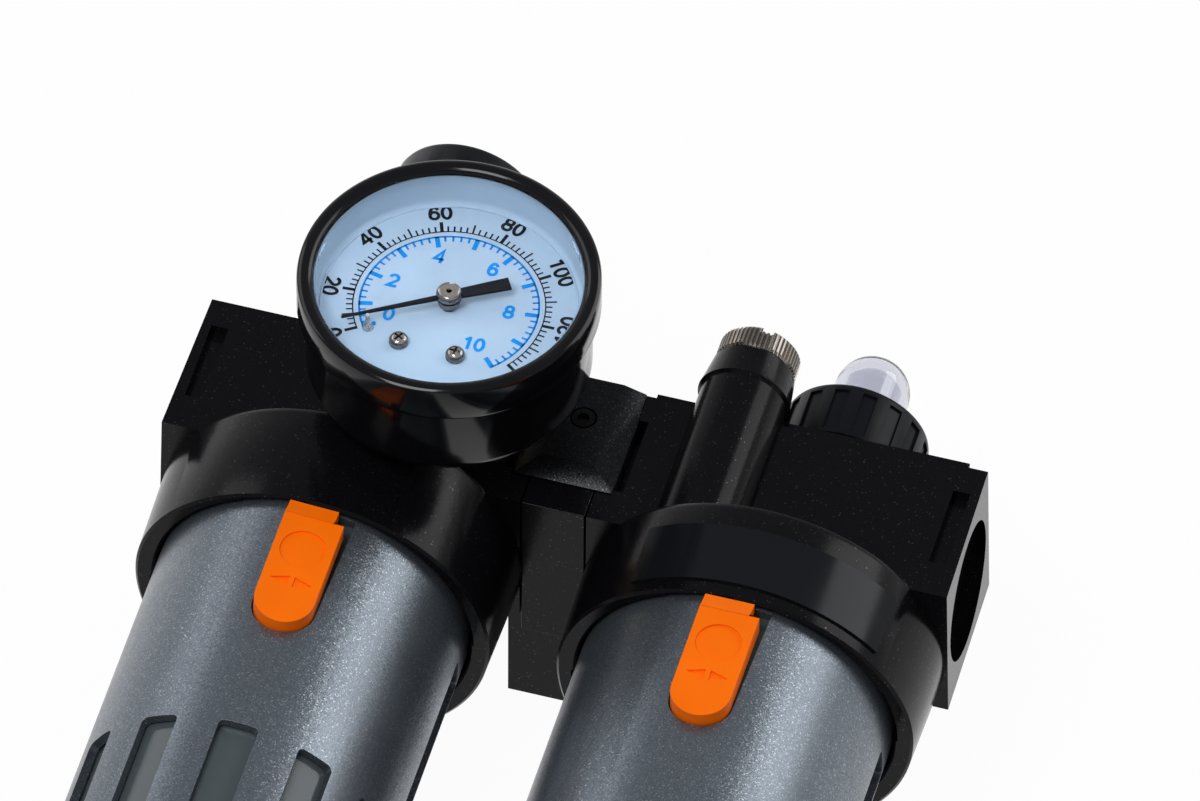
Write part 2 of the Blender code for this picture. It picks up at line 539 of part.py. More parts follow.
def regulating_parts():
    neck_in = SCREW_COLLAR_R + 0.7 * mm
    roof = BONNET_TOP - BONNET_ROOF_T
    room_top = roof - SCREW_COLLAR_T - NUT_KEY_HALF * 2 - 0.4 * mm
    room_low = PISTON_BOTTOM + PISTON_T + 2 * mm
    bonnet_base = BOX_TOP + CLEAR
    flange_top = bonnet_base + BONNET_FLANGE_T
    bonnet = place("bonnet", lathe([
        (SCREW_R + CLEAR, BONNET_TOP), (BONNET_NECK_R - 0.8 * mm, BONNET_TOP),
        (BONNET_NECK_R, BONNET_TOP - 0.8 * mm), (BONNET_NECK_R, BONNET_SHOULDER),
        (KNOB_R - 1.0 * mm, BONNET_SHOULDER), (KNOB_R - 0.4 * mm, BONNET_SHOULDER - 1.2 * mm),
        (BONNET_FLANGE_R - 2.2 * mm, flange_top + 3 * mm), (BONNET_FLANGE_R, flange_top),
        (BONNET_FLANGE_R, bonnet_base), (BONNET_SPIGOT_R, bonnet_base),
        (BONNET_SPIGOT_R, BONNET_SEAT + CLEAR), (PISTON_R + CLEAR, BONNET_SEAT + CLEAR),
        (PISTON_R + CLEAR, room_low), (SPRING_ROOM_R, room_low + 1.4 * mm), (SPRING_ROOM_R, room_top),
        (neck_in, room_top + 2 * mm), (neck_in, roof), (SCREW_R + CLEAR, roof)], 24),
        BLACK_PLASTIC, REGULATOR)
    octagon = prism(polygon(8, 2 * BONNET_FLANGE_R * math.cos(math.pi / 8)), 0, BONNET_TOP + mm)
    along(octagon, Matrix.Rotation(math.pi / 8, 4, 'Z'))
    combine(bonnet, octagon, 'INTERSECT')
    key_reach = NUT_R + NUT_KEY_PROUD
    key_way = block((-key_reach - CLEAR, -NUT_KEY_HALF - CLEAR, room_low + 0.5 * mm),
                    (key_reach + CLEAR, NUT_KEY_HALF + CLEAR, room_top))
    combine(bonnet, key_way, 'DIFFERENCE')

    # The screw hangs under the bonnet's roof; its hexagon drives the knob
    collar_top = roof - CLEAR
    nut_top = collar_top - SCREW_COLLAR_T - 3.4 * mm
    nut_low = nut_top - NUT_T
    screw_low = nut_low - NUT_TRAVEL - 1.2 * mm
    screw = place("adjusting_screw", lathe([
        (0, BONNET_TOP + 1 * mm), (SCREW_R, BONNET_TOP + 1 * mm), (SCREW_R, collar_top),
        (SCREW_COLLAR_R, collar_top), (SCREW_COLLAR_R, collar_top - SCREW_COLLAR_T),
        (SCREW_R, collar_top - SCREW_COLLAR_T), (SCREW_R, screw_low + 0.8 * mm),
        (SCREW_R - 0.8 * mm, screw_low), (0, screw_low)], 16), STEEL, REGULATOR)
    hexagon_top = KNOB_TOP - KNOB_LIFT - 4 * mm
    combine(screw, prism(polygon(6, SCREW_HEX), BONNET_TOP + 0.5 * mm, hexagon_top), 'UNION')

    skirt_low = BONNET_SHOULDER + CLEAR
    band_top = skirt_low + KNOB_BAND
    skirt_in = BONNET_NECK_R + 0.5 * mm
    knob = place("adjusting_knob", lathe([
        (0, KNOB_TOP), (KNOB_TOP_R - 1.6 * mm, KNOB_TOP), (KNOB_TOP_R - 0.4 * mm, KNOB_TOP - 0.5 * mm),
        (KNOB_TOP_R, KNOB_TOP - 1.6 * mm), (KNOB_R - 0.5 * mm, band_top), (KNOB_R, band_top - 1.6 * mm),
        (KNOB_R, skirt_low), (skirt_in, skirt_low), (skirt_in, BONNET_TOP + CLEAR),
        (KNOB_TOP_R - KNOB_WALL, BONNET_TOP + CLEAR + 1.4 * mm),
        (KNOB_TOP_R - KNOB_WALL - 1 * mm, KNOB_TOP - 4 * mm),
        (SCREW_HEX + 1.4 * mm, KNOB_TOP - 3 * mm), (SCREW_HEX, BONNET_TOP + 2.2 * mm),
        (0, BONNET_TOP + 2.2 * mm)], 24), BLACK_PLASTIC, REGULATOR)
    socket = prism(polygon(6, SCREW_HEX + 0.6 * mm), BONNET_TOP + 1 * mm, hexagon_top + CLEAR)
    combine(knob, socket, 'DIFFERENCE')
    low = band_top + 1.5 * mm
    high = KNOB_TOP - KNOB_FLUTE_WIDTH * 2
    lean = math.atan((KNOB_R - 0.5 * mm - KNOB_TOP_R) / (KNOB_TOP - 1.6 * mm - band_top))
    flute = block((-KNOB_FLUTE_DEPTH, -KNOB_FLUTE_WIDTH / 2, (low - high) / 2),
                  (2 * mm, KNOB_FLUTE_WIDTH / 2, (high - low) / 2))
    along(flute, Matrix.Rotation(-lean, 4, 'Y'), ((KNOB_R - 0.5 * mm + KNOB_TOP_R) / 2, 0, (low + high) / 2))
    flutes = ring_of(flute, KNOB_FLUTES)
    combine(knob, flutes, 'DIFFERENCE')

    spring_in = SPRING_R - SPRING_WIRE - CLEAR
    spring_high = nut_low + 1.4 * mm
    nut = place("spring_nut", lathe([
        (SCREW_R + CLEAR, nut_top), (NUT_R - 0.6 * mm, nut_top), (NUT_R, nut_top - 0.6 * mm),
        (NUT_R, spring_high), (spring_in, spring_high), (spring_in, nut_low - 0.6 * mm),
        (SCREW_R + CLEAR, nut_low - 0.6 * mm)], 20), BRASS, REGULATOR)
    keys = bmesh.new()
    for side in (-1, 1):
        near, far = sorted((side * (NUT_R - 1 * mm), side * key_reach))
        block((near, -NUT_KEY_HALF, nut_low + 1.6 * mm), (far, NUT_KEY_HALF, nut_top - 0.8 * mm), 0, keys)
    combine(nut, keys, 'UNION')

    piston_top = PISTON_BOTTOM + PISTON_T
    ring_mid = PISTON_BOTTOM + PISTON_T / 2
    groove = PISTON_R - PISTON_GROOVE_DEPTH
    dish = SPRING_R - SPRING_WIRE - 0.6 * mm
    place("regulating_piston", lathe([
        (0, piston_top - PISTON_T * 0.37), (dish, piston_top - PISTON_T * 0.37),
        (dish, piston_top), (PISTON_R - 0.3 * mm, piston_top),
        (PISTON_R, piston_top - 0.3 * mm), (PISTON_R, ring_mid + PISTON_RING_T / 2),
        (groove, ring_mid + PISTON_RING_T / 2), (groove, ring_mid - PISTON_RING_T / 2),
        (PISTON_R, ring_mid - PISTON_RING_T / 2), (PISTON_R, PISTON_BOTTOM + 0.3 * mm),
        (PISTON_R - 0.3 * mm, PISTON_BOTTOM), (0, PISTON_BOTTOM)], 24), BRASS, REGULATOR)
    ring_half = PISTON_RING_T / 2 - CLEAR
    ring = tube(PISTON_R + 0.1 * mm, groove + CLEAR, ring_mid - ring_half, ring_mid + ring_half)
    place("piston_ring", ring, RUBBER, REGULATOR)
    coil("regulating_spring", STEEL, SPRING_R, SPRING_WIRE, piston_top + CLEAR, spring_high - CLEAR, 5,
         REGULATOR)

    # Valve: the stem reaches up to the piston, its head closes the seat from below
    head_top = SEAT_BOTTOM - CLEAR
    head_low = head_top - VALVE_HEAD_T
    shelf = head_low - VALVE_SPRING_ROOM - VALVE_TRAVEL
    guide_r = VALVE_SPRING_R - VALVE_SPRING_WIRE - CLEAR
    place("valve_stem", lathe([
        (0, PISTON_BOTTOM - CLEAR), (STEM_R - 0.4 * mm, PISTON_BOTTOM - CLEAR),
        (STEM_R, PISTON_BOTTOM - 1 * mm), (STEM_R, head_top), (VALVE_HEAD_R, head_top),
        (VALVE_HEAD_R, head_low), (guide_r, head_low), (guide_r, head_low - 1.2 * mm),
        (STEM_R, head_low - 1.2 * mm), (STEM_R, shelf - 1 * mm), (0, shelf - 1 * mm)], 12), BRASS, REGULATOR)
    coil("valve_spring", STEEL, VALVE_SPRING_R, VALVE_SPRING_WIRE, shelf + CLEAR, head_low - CLEAR, 4,
         REGULATOR)

    # The carrier closes the valve bore and holds the vane plate and the filter
    carrier_in = VALVE_HEAD_R + 1.2 * mm
    carrier_top = SEAT_BOTTOM - CLEAR - 1 * mm
    flange_top = -CEILING - CLEAR
    tube_in = CARRIER_TUBE_R - 1.6 * mm
    tail = -ELEMENT_BOTTOM - CARRIER_TAIL
    carrier = place("valve_carrier", lathe([
        (VALVE_BORE_R - CLEAR, carrier_top), (VALVE_BORE_R - CLEAR, flange_top),
        (ELEMENT_R, flange_top), (ELEMENT_R, flange_top - 2 * mm), (CARRIER_TUBE_R, flange_top - 2.4 * mm),
        (CARRIER_TUBE_R, tail), (tube_in, tail), (tube_in, shelf - 3 * mm),
        (STEM_R + CLEAR, shelf - 1.4 * mm), (STEM_R + CLEAR, shelf), (carrier_in, shelf),
        (carrier_in, carrier_top)], 16), NATURAL_PLASTIC, REGULATOR)
    way = rod(0.8 * mm, shelf - 5 * mm, shelf + 1 * mm, 5, None, ((STEM_R + carrier_in) / 2, 0))
    combine(carrier, ring_of(way, 4, math.pi / 4), 'DIFFERENCE')
    windows = bmesh.new()
    for k in range(3):
        low = -ELEMENT_TOP - 7 * mm - k * CARRIER_WINDOW_STEP
        high = low + CARRIER_WINDOW_STEP * 0.53
        across = CARRIER_TUBE_R + 1 * mm
        block((-across, -1.6 * mm, low), (across, 1.6 * mm, high), 0, windows)
    combine(carrier, windows, 'DIFFERENCE')


def filter_parts():
    """Vane plate that spins the air, element, and baffle over the quiet zone."""
    plate_top = -CEILING - CLEAR - 2.6 * mm - CLEAR
    plate_low = plate_top - VANE_PLATE_T
    bore = CARRIER_TUBE_R + CLEAR
    vanes = place("vane_plate", lathe([
        (VANE_R, plate_top), (VANE_R, plate_low), (VANE_HUB_R + 1 * mm, plate_low),
        (VANE_HUB_R + 0.4 * mm, -ELEMENT_TOP + CLEAR), (bore, -ELEMENT_TOP + CLEAR), (bore, plate_top)], 24),
        BLACK_PLASTIC, REGULATOR)
    pivot = plate_top - VANE_PLATE_T * 0.6
    blade = block((VANE_HUB_R + 0.4 * mm, -0.6 * mm, plate_top - VANE_DROP),
                  (VANE_R - 0.6 * mm, 0.6 * mm, pivot))
    bmesh.ops.rotate(blade, cent=(0, 0, pivot), matrix=Matrix.Rotation(VANE_LEAN, 3, 'X'), verts=blade.verts)
    blades = ring_of(blade, VANE_COUNT)
    combine(vanes, blades, 'UNION')
    place("filter_element", tube(ELEMENT_R, ELEMENT_BORE_R, -ELEMENT_BOTTOM, -ELEMENT_TOP, 24), SINTERED,
          REGULATOR)
    baffle_top = -ELEMENT_BOTTOM - CLEAR
    rim = baffle_top - BAFFLE_DROP
    hub_low = baffle_top - BAFFLE_HUB_T
    place("baffle", lathe([
        (ELEMENT_R + 0.6 * mm, baffle_top), (BAFFLE_R, rim), (BAFFLE_R, rim - BAFFLE_T),
        ((bore + ELEMENT_R) / 2 + 1 * mm, rim - BAFFLE_T - 0.4 * mm), ((bore + ELEMENT_R) / 2, hub_low),
        (bore, hub_low), (bore, baffle_top)], 24), BLACK_PLASTIC, REGULATOR)


def button_outline(grow=0.0):
    """Lock button seen from the front: a latch tab above a shield with a round end."""
    half = BUTTON_HALF + grow
    centre = -BUTTON_TIP + BUTTON_HALF
    arc = [math.pi * k / 10 for k in range(11)]
    end = [(half * math.cos(a), centre - half * math.sin(a)) for a in arc]
    return [(-half, -BUTTON_TOP + grow), (BUTTON_TAB_EDGE + grow, -BUTTON_TOP + grow),
            (BUTTON_TAB_EDGE + grow, -BUTTON_STEP + grow), (half, -BUTTON_STEP + grow), *end]


def bowl_set(prefix, location, drained):
    """Clear bowl in its guard, with the seal above it and the lock button in front."""
    bottom = -BOWL_BOTTOM
    foot = BOWL_CORNER
    inner = [(BOWL_IN_R, -BOWL_TOP), (BOWL_IN_R, bottom + foot), (BOWL_IN_R - foot * 0.15, bottom + foot / 2),
             (BOWL_IN_R - foot / 2, bottom + BOWL_WALL + foot * 0.1)]
    outer = [(BOWL_R - foot / 2, bottom), (BOWL_R - foot * 0.12, bottom + foot * 0.45),
             (BOWL_R, bottom + foot * 0.9), (BOWL_R, -BOWL_TOP - BOWL_FLANGE_T),
             (BOWL_FLANGE_R, -BOWL_TOP - BOWL_FLANGE_T), (BOWL_FLANGE_R, -BOWL_TOP)]
    if drained:
        neck = [(DRAIN_BORE_R, bottom + BOWL_WALL), (DRAIN_BORE_R, -DRAIN_NECK_BOTTOM),
                (DRAIN_NECK_R, -DRAIN_NECK_BOTTOM), (DRAIN_NECK_R, bottom)]
        profile = inner + neck + outer
    else:
        profile = [(0, bottom)] + outer + inner + [(0, bottom + BOWL_WALL)]
    place(prefix + "_bowl", lathe(profile, 24), CLEAR_BOWL, location)

    seal_ring = (BOWL_IN_R + BOWL_FLANGE_R) / 2
    seal_z = -CEILING - CLEAR - BOWL_SEAL_WIRE
    place(prefix + "_bowl_seal", torus(seal_ring, BOWL_SEAL_WIRE), RUBBER, location + Vector((0, 0, seal_z)))

    floor = -GUARD_BOTTOM
    toe = GUARD_CORNER
    guard = place(prefix + "_guard", lathe([
        (GUARD_R, -GUARD_TOP), (GUARD_R, floor + toe), (GUARD_R - toe * 0.157, floor + toe * 0.357),
        (GUARD_R - toe * 0.43, floor), (GUARD_FLOOR_R, floor), (GUARD_FLOOR_R, floor + GUARD_WALL),
        (GUARD_IN_R - toe * 0.357, floor + GUARD_WALL), (GUARD_IN_R - toe * 0.13, floor + toe * 0.43),
        (GUARD_IN_R, floor + toe), (GUARD_IN_R, -GUARD_TOP)], 32), GUARD_PAINT, location)
    lug = sector(GUARD_R - 0.8 * mm, LUG_R, LUG_START, LUG_ANGLE, -LUG_TOP - LUG_HEIGHT, -LUG_TOP, None, 2)
    lugs = ring_of(lug, LUG_COUNT)
    combine(guard, lugs, 'UNION')
    windows = bmesh.new()
    for k in range(WINDOW_COUNT // 2):
        angle = math.pi * k / (WINDOW_COUNT // 2)
        top = SIDE_SLOT_TOP if k == 0 else WINDOW_TOP
        cutter = block((-GUARD_R - 2 * mm, -WINDOW_WIDTH / 2, -WINDOW_BOTTOM),
                       (GUARD_R + 2 * mm, WINDOW_WIDTH / 2, -top), WINDOW_WIDTH * 0.3, None, 0, 1)
        bmesh.ops.rotate(cutter, cent=(0, 0, 0), matrix=Matrix.Rotation(angle, 3, 'Z'), verts=cutter.verts)
        combine(guard, cutter, 'DIFFERENCE')
    pocket = along(prism(button_outline(CLEAR), GUARD_IN_R - 8 * mm, GUARD_R + 3 * mm), TO_FRONT)
    combine(guard, pocket, 'DIFFERENCE')

    button_r = GUARD_R + BUTTON_PROUD
    slab = along(prism(button_outline(), GUARD_IN_R - 8 * mm, GUARD_R + 5 * mm), TO_FRONT)
    button = place(prefix + "_lock_button", slab, ORANGE, location)
    shell = tube(button_r, BOWL_R + CLEAR + BUTTON_TRAVEL, -BUTTON_TIP - 2 * mm, -BUTTON_TOP + 2 * mm, 72)
    combine(button, shell, 'INTERSECT')


def drain():
    knob_top = -DRAIN_NECK_BOTTOM - CLEAR
    knob_low = knob_top - DRAIN_KNOB_T
    top = -BOWL_BOTTOM + BOWL_WALL + 2 * mm
    stem_r = DRAIN_BORE_R - CLEAR
    spout_r = DRAIN_BORE_R * 0.54
    knob = place("drain_valve", lathe([
        (0, top), (DRAIN_BORE_R + 1.4 * mm, top), (DRAIN_BORE_R + 1.4 * mm, top - 1.6 * mm),
        (stem_r, top - 1.7 * mm), (stem_r, knob_top), (DRAIN_KNOB_R, knob_top),
        (DRAIN_KNOB_R, knob_top - DRAIN_KNOB_T * 0.5),
        (DRAIN_KNOB_R * 0.76, knob_top - DRAIN_KNOB_T * 0.6), (DRAIN_KNOB_R * 0.39, knob_low),
        (spout_r, knob_low), (spout_r, knob_top - 1.5 * mm), (0, knob_top - 1.5 * mm)], 16), BLACK_PLASTIC,
        REGULATOR)
    grip = rod(1.3 * mm, knob_low + CLEAR, knob_top - 0.9 * mm, 6, None, (DRAIN_KNOB_R + 0.5 * mm, 0))
    grips = ring_of(grip, 8)
    combine(knob, grips, 'DIFFERENCE')


def gauge():
    """Gauge parts, built with their axis upright and then faced to the front."""
    case_in = GAUGE_CASE_R - GAUGE_CASE_WALL
    place("gauge_case", lathe([
        (GAUGE_SHANK_R + CLEAR, 0), (GAUGE_CASE_R - 3 * mm, 0), (GAUGE_CASE_R - 0.8 * mm, 0.9 * mm),
        (GAUGE_CASE_R, 3 * mm), (GAUGE_CASE_R, GAUGE_CASE_LENGTH), (case_in, GAUGE_CASE_LENGTH),
        (case_in, 3.4 * mm), (case_in - 1.6 * mm, 1.5 * mm), (GAUGE_SHANK_R + CLEAR, 1.5 * mm)][::-1], 32),
        BEZEL, GAUGE, FACE_FRONT)
    skirt_low = GAUGE_DEPTH - GAUGE_SKIRT
    lip_low = GAUGE_DEPTH - GAUGE_LIP_T
    place("gauge_bezel", lathe([
        (GAUGE_WINDOW_R + 1.1 * mm, GAUGE_DEPTH), (GAUGE_BEZEL_R - 0.9 * mm, GAUGE_DEPTH),
        (GAUGE_BEZEL_R, GAUGE_DEPTH - 0.9 * mm), (GAUGE_BEZEL_R, skirt_low + 0.5 * mm),
        (GAUGE_BEZEL_R - 0.5 * mm, skirt_low), (GAUGE_CASE_R + CLEAR, skirt_low),
        (GAUGE_CASE_R + CLEAR, lip_low), (GAUGE_WINDOW_R, lip_low),
        (GAUGE_WINDOW_R, GAUGE_DEPTH - 1.2 * mm)], 36), BEZEL, GAUGE, FACE_FRONT)
    lens_low = GAUGE_CASE_LENGTH + CLEAR
    place("gauge_lens", rod(GAUGE_CASE_R - 0.2 * mm, lens_low, lens_low + LENS_T, 32), CLEAR_DOME, GAUGE,
          FACE_FRONT)

    hub_hole = POINTER_HUB_R * 0.64
    dial = place("gauge_dial", tube(DIAL_R, hub_hole, DIAL_FRONT - DIAL_T, DIAL_FRONT, 32), DIAL_FACE, GAUGE,
                 FACE_FRONT)
    pin_angle = POINTER_ZERO + (STOP_PIN_HALF + 0.35 * mm + CLEAR) / STOP_PIN_R
    pin = rod(STOP_PIN_HALF, DIAL_FRONT - DIAL_T / 2, POINTER_FRONT, 10, None,
              (STOP_PIN_R * math.cos(pin_angle), STOP_PIN_R * math.sin(pin_angle)))
    combine(dial, pin, 'UNION', GAUGE, FACE_FRONT)
    shank = DIAL_SCREW_R * 0.32
    holes = bmesh.new()
    for side in (-1, 1):
        rod(shank + CLEAR, DIAL_FRONT - 2 * mm, DIAL_FRONT + 1 * mm, 12, holes,
            (side * DIAL_SCREW_X, -DIAL_SCREW_Z))
    combine(dial, holes, 'DIFFERENCE', GAUGE, FACE_FRONT)
    for name, side in (("dial_screw_left", -1), ("dial_screw_right", 1)):
        head = DIAL_FRONT + CLEAR
        top = head + DIAL_SCREW_T
        tip = MOVEMENT_TOP
        screw = place(name, lathe([
            (0, top), (DIAL_SCREW_R * 0.6, top), (DIAL_SCREW_R, head + DIAL_SCREW_T * 0.45),
            (DIAL_SCREW_R, head), (shank, head), (shank, tip), (0, tip)], 12), STEEL,
            GAUGE + Vector((side * DIAL_SCREW_X, 0, -DIAL_SCREW_Z)), FACE_FRONT)
        reach = DIAL_SCREW_R + mm
        groove = block((-reach, -0.25 * mm, top - DIAL_SCREW_T * 0.4), (reach, 0.25 * mm, top + mm))
        combine(screw, groove, 'DIFFERENCE', screw.location, FACE_FRONT)

    # Socket block: threaded shank behind, movement block and dial posts inside the case
    post_top = DIAL_FRONT - DIAL_T - CLEAR
    pad_gap = GAUGE_BACK - BOX_FRONT
    thread_low = -pad_gap - GAUGE_THREAD_DEPTH
    shank_top = MOVEMENT_LOW + 2 * mm
    socket = place("gauge_socket", lathe([
        (0, shank_top), (GAUGE_SHANK_R, shank_top), (GAUGE_SHANK_R, -1 * mm), (GAUGE_THREAD_R, -1 * mm),
        (GAUGE_THREAD_R, thread_low + 0.6 * mm), (GAUGE_THREAD_R - 0.6 * mm, thread_low),
        (0, thread_low)], 18), BRASS, GAUGE, FACE_FRONT)
    combine(socket, prism(polygon(6, GAUGE_HEX), -pad_gap + GAUGE_PAD_T + CLEAR, -CLEAR), 'UNION', GAUGE,
            FACE_FRONT)
    movement = block((-BOURDON_R / 2, -BOURDON_R * 0.75, MOVEMENT_LOW),
                     (BOURDON_R / 2, BOURDON_R * 0.3125, MOVEMENT_TOP))
    combine(socket, movement, 'UNION', GAUGE, FACE_FRONT)
    posts = bmesh.new()
    for side in (-1, 1):
        rod(shank + 1 * mm, MOVEMENT_TOP - 2 * mm, post_top, 8, posts, (side * DIAL_SCREW_X, -DIAL_SCREW_Z))
    combine(socket, posts, 'UNION', GAUGE, FACE_FRONT)
    shaft_r = hub_hole - 2 * CLEAR
    shaft_low = MOVEMENT_TOP - 5 * mm
    bores = rod(shaft_r + CLEAR, shaft_low - 1 * mm, DIAL_FRONT, 8)
    rod(GAUGE_THREAD_R / 4, thread_low - mm, MOVEMENT_LOW - 2 * mm, 8, bores)
    for side in (-1, 1):
        rod(shank + CLEAR, MOVEMENT_TOP - 1 * mm, DIAL_FRONT, 8, bores, (side * DIAL_SCREW_X, -DIAL_SCREW_Z))
    combine(socket, bores, 'DIFFERENCE', GAUGE, FACE_FRONT)

    curve = bpy.data.curves.new("bourdon_tube", 'CURVE')
    curve.dimensions = '3D'
    curve.bevel_depth = BOURDON_TUBE_R
    curve.bevel_resolution = 1
    curve.use_fill_caps = True
    spline = curve.splines.new('POLY')
    steps = 18
    spline.points.add(steps)
    for k, point in enumerate(spline.points):
        angle = math.radians(-55 + 250 * k / steps)
        point.co = (BOURDON_R * math.cos(angle), BOURDON_R * math.sin(angle),
                    (MOVEMENT_LOW + MOVEMENT_TOP) / 2, 1)
    curve.materials.append(BRASS)
    bourdon = bpy.data.objects.new("bourdon_tube", curve)
    bourdon.location = GAUGE
    bourdon.rotation_euler = FACE_FRONT
    bpy.context.scene.collection.objects.link(bourdon)

    # Pointer at its rest on the stop pin, with hub and shaft
    back = POINTER_FRONT - POINTER_T
    outline = []
    for side in (1, -1):
        half = [(POINTER_LENGTH, POINTER_TIP_HALF), (0, POINTER_HALF),
                (-POINTER_TAIL * 0.45, POINTER_HALF * 0.9), (-POINTER_TAIL, POINTER_TAIL_HALF)]
        outline += [(x, side * y) for x, y in half[::side]]
    turned = Matrix.Rotation(POINTER_ZERO, 4, 'Z')
    pointer = place("gauge_pointer", along(prism(outline, back, POINTER_FRONT), turned), BLACK_PLASTIC,
                    GAUGE, FACE_FRONT)
    hub = lathe([(0, POINTER_FRONT + POINTER_HUB_T),
                 (POINTER_HUB_R - 0.4 * mm, POINTER_FRONT + POINTER_HUB_T),
                 (POINTER_HUB_R, POINTER_FRONT + POINTER_HUB_T - 0.4 * mm), (POINTER_HUB_R, back - 0.6 * mm),
                 (shaft_r, back - 0.6 * mm), (shaft_r, shaft_low), (0, shaft_low)], 12)
    combine(pointer, hub, 'UNION', GAUGE, FACE_FRONT)


def joint_parts():
    """Bracket between and behind the units, clamp and screw in front, seals at the ports."""
    middle = Vector((0, -AXIS_OUT, 0))
    wall = AXIS_OUT
    plate_front = wall - PLATE_T
    arm_front = BOX_REAR + CLEAR
    stem = block((-STEM_HALF, -BOX_FRONT, -BOX_BOTTOM), (STEM_HALF, BOX_REAR + ARM_STEP, BOX_TOP),
                 BOX_ROUND * 0.8, segments=1)
    bracket = place("rear_bracket", stem, CASTING, middle)
    arm = block((-ARM_HALF, arm_front, -COLLAR_TOP), (ARM_HALF, wall, BOX_TOP), BOX_ROUND * 0.9, segments=1)
    combine(bracket, arm, 'UNION')
    neck = block((-ARM_HALF, plate_front, BOX_TOP - ARM_STEP), (ARM_HALF, wall, PLATE_TOP - PLATE_T * 0.6))
    combine(bracket, neck, 'UNION')
    plate = block((-PLATE_HALF, plate_front, PLATE_LOW), (PLATE_HALF, wall, PLATE_TOP),
                  PLATE_T * 0.48, None, 1)
    combine(bracket, plate, 'UNION')
    web_low = BOX_TOP - 1 * mm
    web_top = PLATE_TOP - PLATE_T
    web = prism([(arm_front + ARM_STEP, web_low), (wall - 1 * mm, web_low), (wall - 1 * mm, web_top),
                 (plate_front, web_top)], -WEB_HALF, WEB_HALF)
    turn = Matrix(((0, 0, 1, 0), (1, 0, 0, 0), (0, 1, 0, 0), (0, 0, 0, 1)))
    combine(bracket, along(web, turn), 'UNION')
    combine(bracket, along(rod(PORT_R, -ARM_HALF, ARM_HALF, 16), TO_X, (0, -PORT_FORWARD, 0)), 'DIFFERENCE')
    slots = bmesh.new()
    slot_z = (PLATE_LOW + PLATE_TOP) / 2
    reach = WALL_SLOT_LENGTH / 2 - WALL_SLOT_R
    for side in (-1, 1):
        arc = [math.pi * k / 6 for k in range(7)]
        ends = [(side * WALL_SLOT_X + WALL_SLOT_R * math.cos(a),
                 slot_z + reach + WALL_SLOT_R * math.sin(a)) for a in arc]
        ends += [(side * WALL_SLOT_X - WALL_SLOT_R * math.cos(a),
                  slot_z - reach - WALL_SLOT_R * math.sin(a)) for a in arc]
        prism(ends, -wall - mm, -plate_front + mm, slots)
    combine(bracket, along(slots, TO_FRONT), 'DIFFERENCE')
    screw_hole = rod(CLAMP_SHANK_R + CLEAR, BOX_FRONT - CLAMP_SHANK, BOX_FRONT + 1 * mm, 16)
    combine(bracket, along(screw_hole, TO_FRONT, (0, 0, CLAMP_SCREW_Z)), 'DIFFERENCE')

    # Clamp: a low pyramid whose legs hook into the bodies' front slots
    base = BOX_FRONT + CLEAR
    bm = bmesh.new()
    corners = []
    for half, low, high, depth in ((CLAMP_BASE_HALF, -CLAMP_LOW, BOX_TOP, base),
                                   (CLAMP_FACE_HALF, -CLAMP_FACE_LOW, BOX_TOP - 0.7 * mm, base + CLAMP_T)):
        corners.append([bm.verts.new((x, -depth, z)) for x, z in ((-half, low), (half, low), (half, high),
                                                                  (-half, high))])
    for ring in corners:
        bm.faces.new(ring)
    for k in range(4):
        bm.faces.new((corners[0][k], corners[0][(k + 1) % 4], corners[1][(k + 1) % 4], corners[1][k]))
    clamp = place("front_clamp", bm, CASTING, middle)
    leg_in = STEM_HALF + CLEAR + SLOT_EDGE + CLEAR
    legs = bmesh.new()
    for side in (-1, 1):
        near, far = sorted((side * leg_in, side * (leg_in + CLAMP_LEG_T)))
        block((near, -base - 0.1 * mm, -SLOT_BOTTOM + CLEAR),
              (far, -base + SLOT_DEPTH, SLOT_TOP - CLEAR), 0, legs)
    combine(clamp, legs, 'UNION')
    head_seat = base + CLAMP_T - CLAMP_HEAD_T - CLEAR
    head_r = CLAMP_HEAD_R + CLEAR
    shank_r = CLAMP_SHANK_R + CLEAR
    bore = lathe([(0, base + CLAMP_T + mm), (head_r, base + CLAMP_T + mm), (head_r, head_seat),
                  (shank_r, head_seat), (shank_r, base - mm), (0, base - mm)], 24)
    combine(clamp, along(bore, TO_FRONT, (0, 0, CLAMP_SCREW_Z)), 'DIFFERENCE')
    head_low = head_seat + CLEAR
    head_top = head_low + CLAMP_HEAD_T
    tip = BOX_FRONT - CLAMP_SHANK + CLEAR
    screw = place("clamp_screw", lathe([
        (0, head_top), (CLAMP_HEAD_R, head_top), (CLAMP_HEAD_R, head_low), (CLAMP_SHANK_R, head_low),
        (CLAMP_SHANK_R, tip), (0, tip)], 16), STEEL, middle + Vector((0, 0, CLAMP_SCREW_Z)), FACE_FRONT)
    drive = prism(polygon(6, CLAMP_HEX), head_low + CLAMP_HEAD_T * 0.3, head_top + mm)
    combine(screw, drive, 'DIFFERENCE', screw.location, FACE_FRONT)

    for name, side in (("joint_seal_left", -1), ("joint_seal_right", 1)):
        face = STEM_HALF + CLEAR
        seal = tube(JOINT_SEAL_R - 0.2 * mm, JOINT_SEAL_IN_R, face, face + JOINT_SEAL_T, 24)
        place(name, along(seal, TO_X if side > 0 else TO_X.inverted(), (0, -PORT_FORWARD, 0)), RUBBER, middle)


